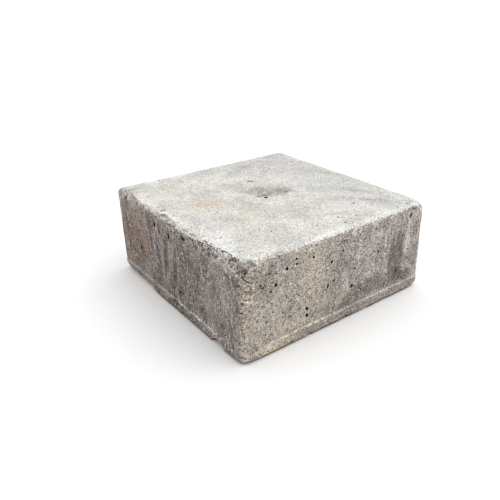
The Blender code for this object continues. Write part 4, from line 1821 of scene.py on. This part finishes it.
        # The pores are painted dark: their shade, with grime.
        fine = wires.product(self.spots(Spots.PORE), tones.fine_pore)
        pores = wires.math("MAXIMUM", fine, self.spots(Spots.WIDE_PORE))
        pores = wires.product(pores, self.cover(Cover.PORES, self.top))
        colour = wires.coat(pores, colour, tones.grime_and_shade)
        colour = wires.vector("SCALE", colour, scale=self.shade())
        colour = wires.vector("MINIMUM", colour, (tones.brightest,) * 3)
        wires.join(colour, self.shader.inputs["Base Color"])
        wires.join(wires.span(self.grain, -2.0, 2.0, 0.98, 0.84), self.shader.inputs["Roughness"])
        relief = wires.math("MULTIPLY_ADD", self.clump, 0.6, wires.product(self.grain, 0.3))
        bump = wires.node("ShaderNodeBump")
        bump.inputs["Strength"].default_value = 1.0
        bump.inputs["Distance"].default_value = tones.bump
        wires.join(wires.math("MULTIPLY_ADD", pores, -2.5, relief), bump.inputs["Height"])
        wires.join(bump.outputs["Normal"], self.shader.inputs["Normal"])
        return self.material


@dataclass(frozen=True)
class BaredPebble:
    """Finish of the gravel that stands bare in the broken corner: smooth dusty stone."""

    colour: tuple[float, float, float] = (156, 146, 132)
    dust: tuple[float, float, float] = (186, 177, 160)

    def material(self, effects: Effects) -> bpy.types.Material:
        """Build the material.

        Args:
            effects: The shared effects.

        Returns:
            The material.
        """
        made, wires, shader = open_material("bared_pebble", 0.35)
        place = wires.node("ShaderNodeTexCoord").outputs["Object"]
        dusty = wires.effect(effects.mottle, Place=place, Size=2.5 * MM)
        grain = wires.effect(effects.grain, Place=place, Size=0.8 * MM)
        colour = wires.coat(dusty, self.colour, self.dust)
        colour = wires.vector("SCALE", colour, scale=wires.math("MULTIPLY_ADD", grain, 0.12, 1.0))
        wires.join(colour, shader.inputs["Base Color"])
        wires.join(wires.span(dusty, 0.0, 1.0, 0.55, 0.85), shader.inputs["Roughness"])
        return made


@dataclass(frozen=True)
class HoleShadeAndDirt:
    """Finish of the insides of holes and cracks: dark dirt, and painted shade that darkens them beyond what
    the light gives.
    """

    name: str = "hole_shade_and_dirt"
    colour: tuple[float, float, float] = (34, 29, 26)

    def material(self, effects: Effects) -> bpy.types.Material:
        """Build the material.

        Args:
            effects: The shared effects.

        Returns:
            The material.
        """
        made, wires, shader = open_material(self.name, 0.1)
        place = wires.node("ShaderNodeTexCoord").outputs["Object"]
        grain = wires.effect(effects.grain, Place=place, Size=0.9 * MM)
        shade = wires.math("MULTIPLY_ADD", grain, 0.4, 1.0)
        wires.join(wires.vector("SCALE", seen(*self.colour)[:3], scale=shade), shader.inputs["Base Color"])
        wires.join(wires.span(grain, -1.0, 1.0, 1.0, 0.9), shader.inputs["Roughness"])
        return made


@dataclass(frozen=True)
class Studio:
    """The plain studio: a pale floor, even light all round and one soft main light.

    Attributes:
        floor_span: Side of the floor.
        floor_colour: Its colour.
        floor_roughness: How dull it is.
        sky: Brightness of the even light.
        sun: Strength of the main light.
        sun_softness_degrees: How wide the main light is.
        sun_from: The way that the main light comes from.
        sun_height: How high the main light is hung, which changes nothing that it lights.
    """

    floor_span: float = 160.0
    floor_colour: tuple[float, float, float] = (0.92, 0.92, 0.92)
    floor_roughness: float = 0.9
    sky: float = 1.0
    sun: float = 0.9
    sun_softness_degrees: float = 70.0
    sun_from: tuple[float, float, float] = (0.45, -0.20, 0.90)
    sun_height: float = 2.0

    def set_up(self) -> None:
        """Add the floor and the lights, and show colours plainly."""
        bpy.ops.mesh.primitive_plane_add(size=self.floor_span)
        floor = bpy.context.object
        floor.name = "floor"
        paint, _, shader = open_material("floor_paint", 0.0)
        shader.inputs["Base Color"].default_value = (*self.floor_colour, 1.0)
        shader.inputs["Roughness"].default_value = self.floor_roughness
        floor.data.materials.append(paint)
        world = bpy.data.worlds.new("studio")
        world.use_nodes = True
        backdrop = world.node_tree.nodes["Background"]
        backdrop.inputs["Color"].default_value = (1.0, 1.0, 1.0, 1.0)
        backdrop.inputs["Strength"].default_value = self.sky
        bpy.context.scene.world = world
        toward = Vector(self.sun_from).to_track_quat("Z", "Y").to_euler()
        bpy.ops.object.light_add(type="SUN", location=(0.0, 0.0, self.sun_height), rotation=toward)
        main_light = bpy.context.object
        main_light.name = "main_light"
        main_light.data.energy = self.sun
        main_light.data.angle = math.radians(self.sun_softness_degrees)
        bpy.context.scene.view_settings.view_transform = "Standard"


def main() -> None:
    """Build the view, the studio and the block, and report them."""
    logging.basicConfig(level=logging.INFO, format="%(message)s")
    view = PhotoView()
    view.set_up()
    Studio().set_up()
    form = BlockForm(cad_low, cad_high)
    effects = Effects()
    block = WeatheredBlock(frame["nodes"][SOLID_NODE], form, view)
    piece = block.build()
    piece.data.materials.append(WeatheredConcrete(form, view, effects).build())
    block.set_pebbles(BaredPebble().material(effects))
    # The crack and hole insides are painted dark: painted shade, with dirt.
    crack_shade_and_dirt = HoleShadeAndDirt("crack_shade_and_dirt", (72, 64, 58))
    block.open_air_holes(HoleShadeAndDirt().material(effects), crack_shade_and_dirt.material(effects))
    block.write_masks()
    block.finish()
    log.info("%s: %d faces, finishes %s", piece.name, len(piece.data.polygons),
             [material.name for material in piece.data.materials])


if __name__ == "__main__":
    main()
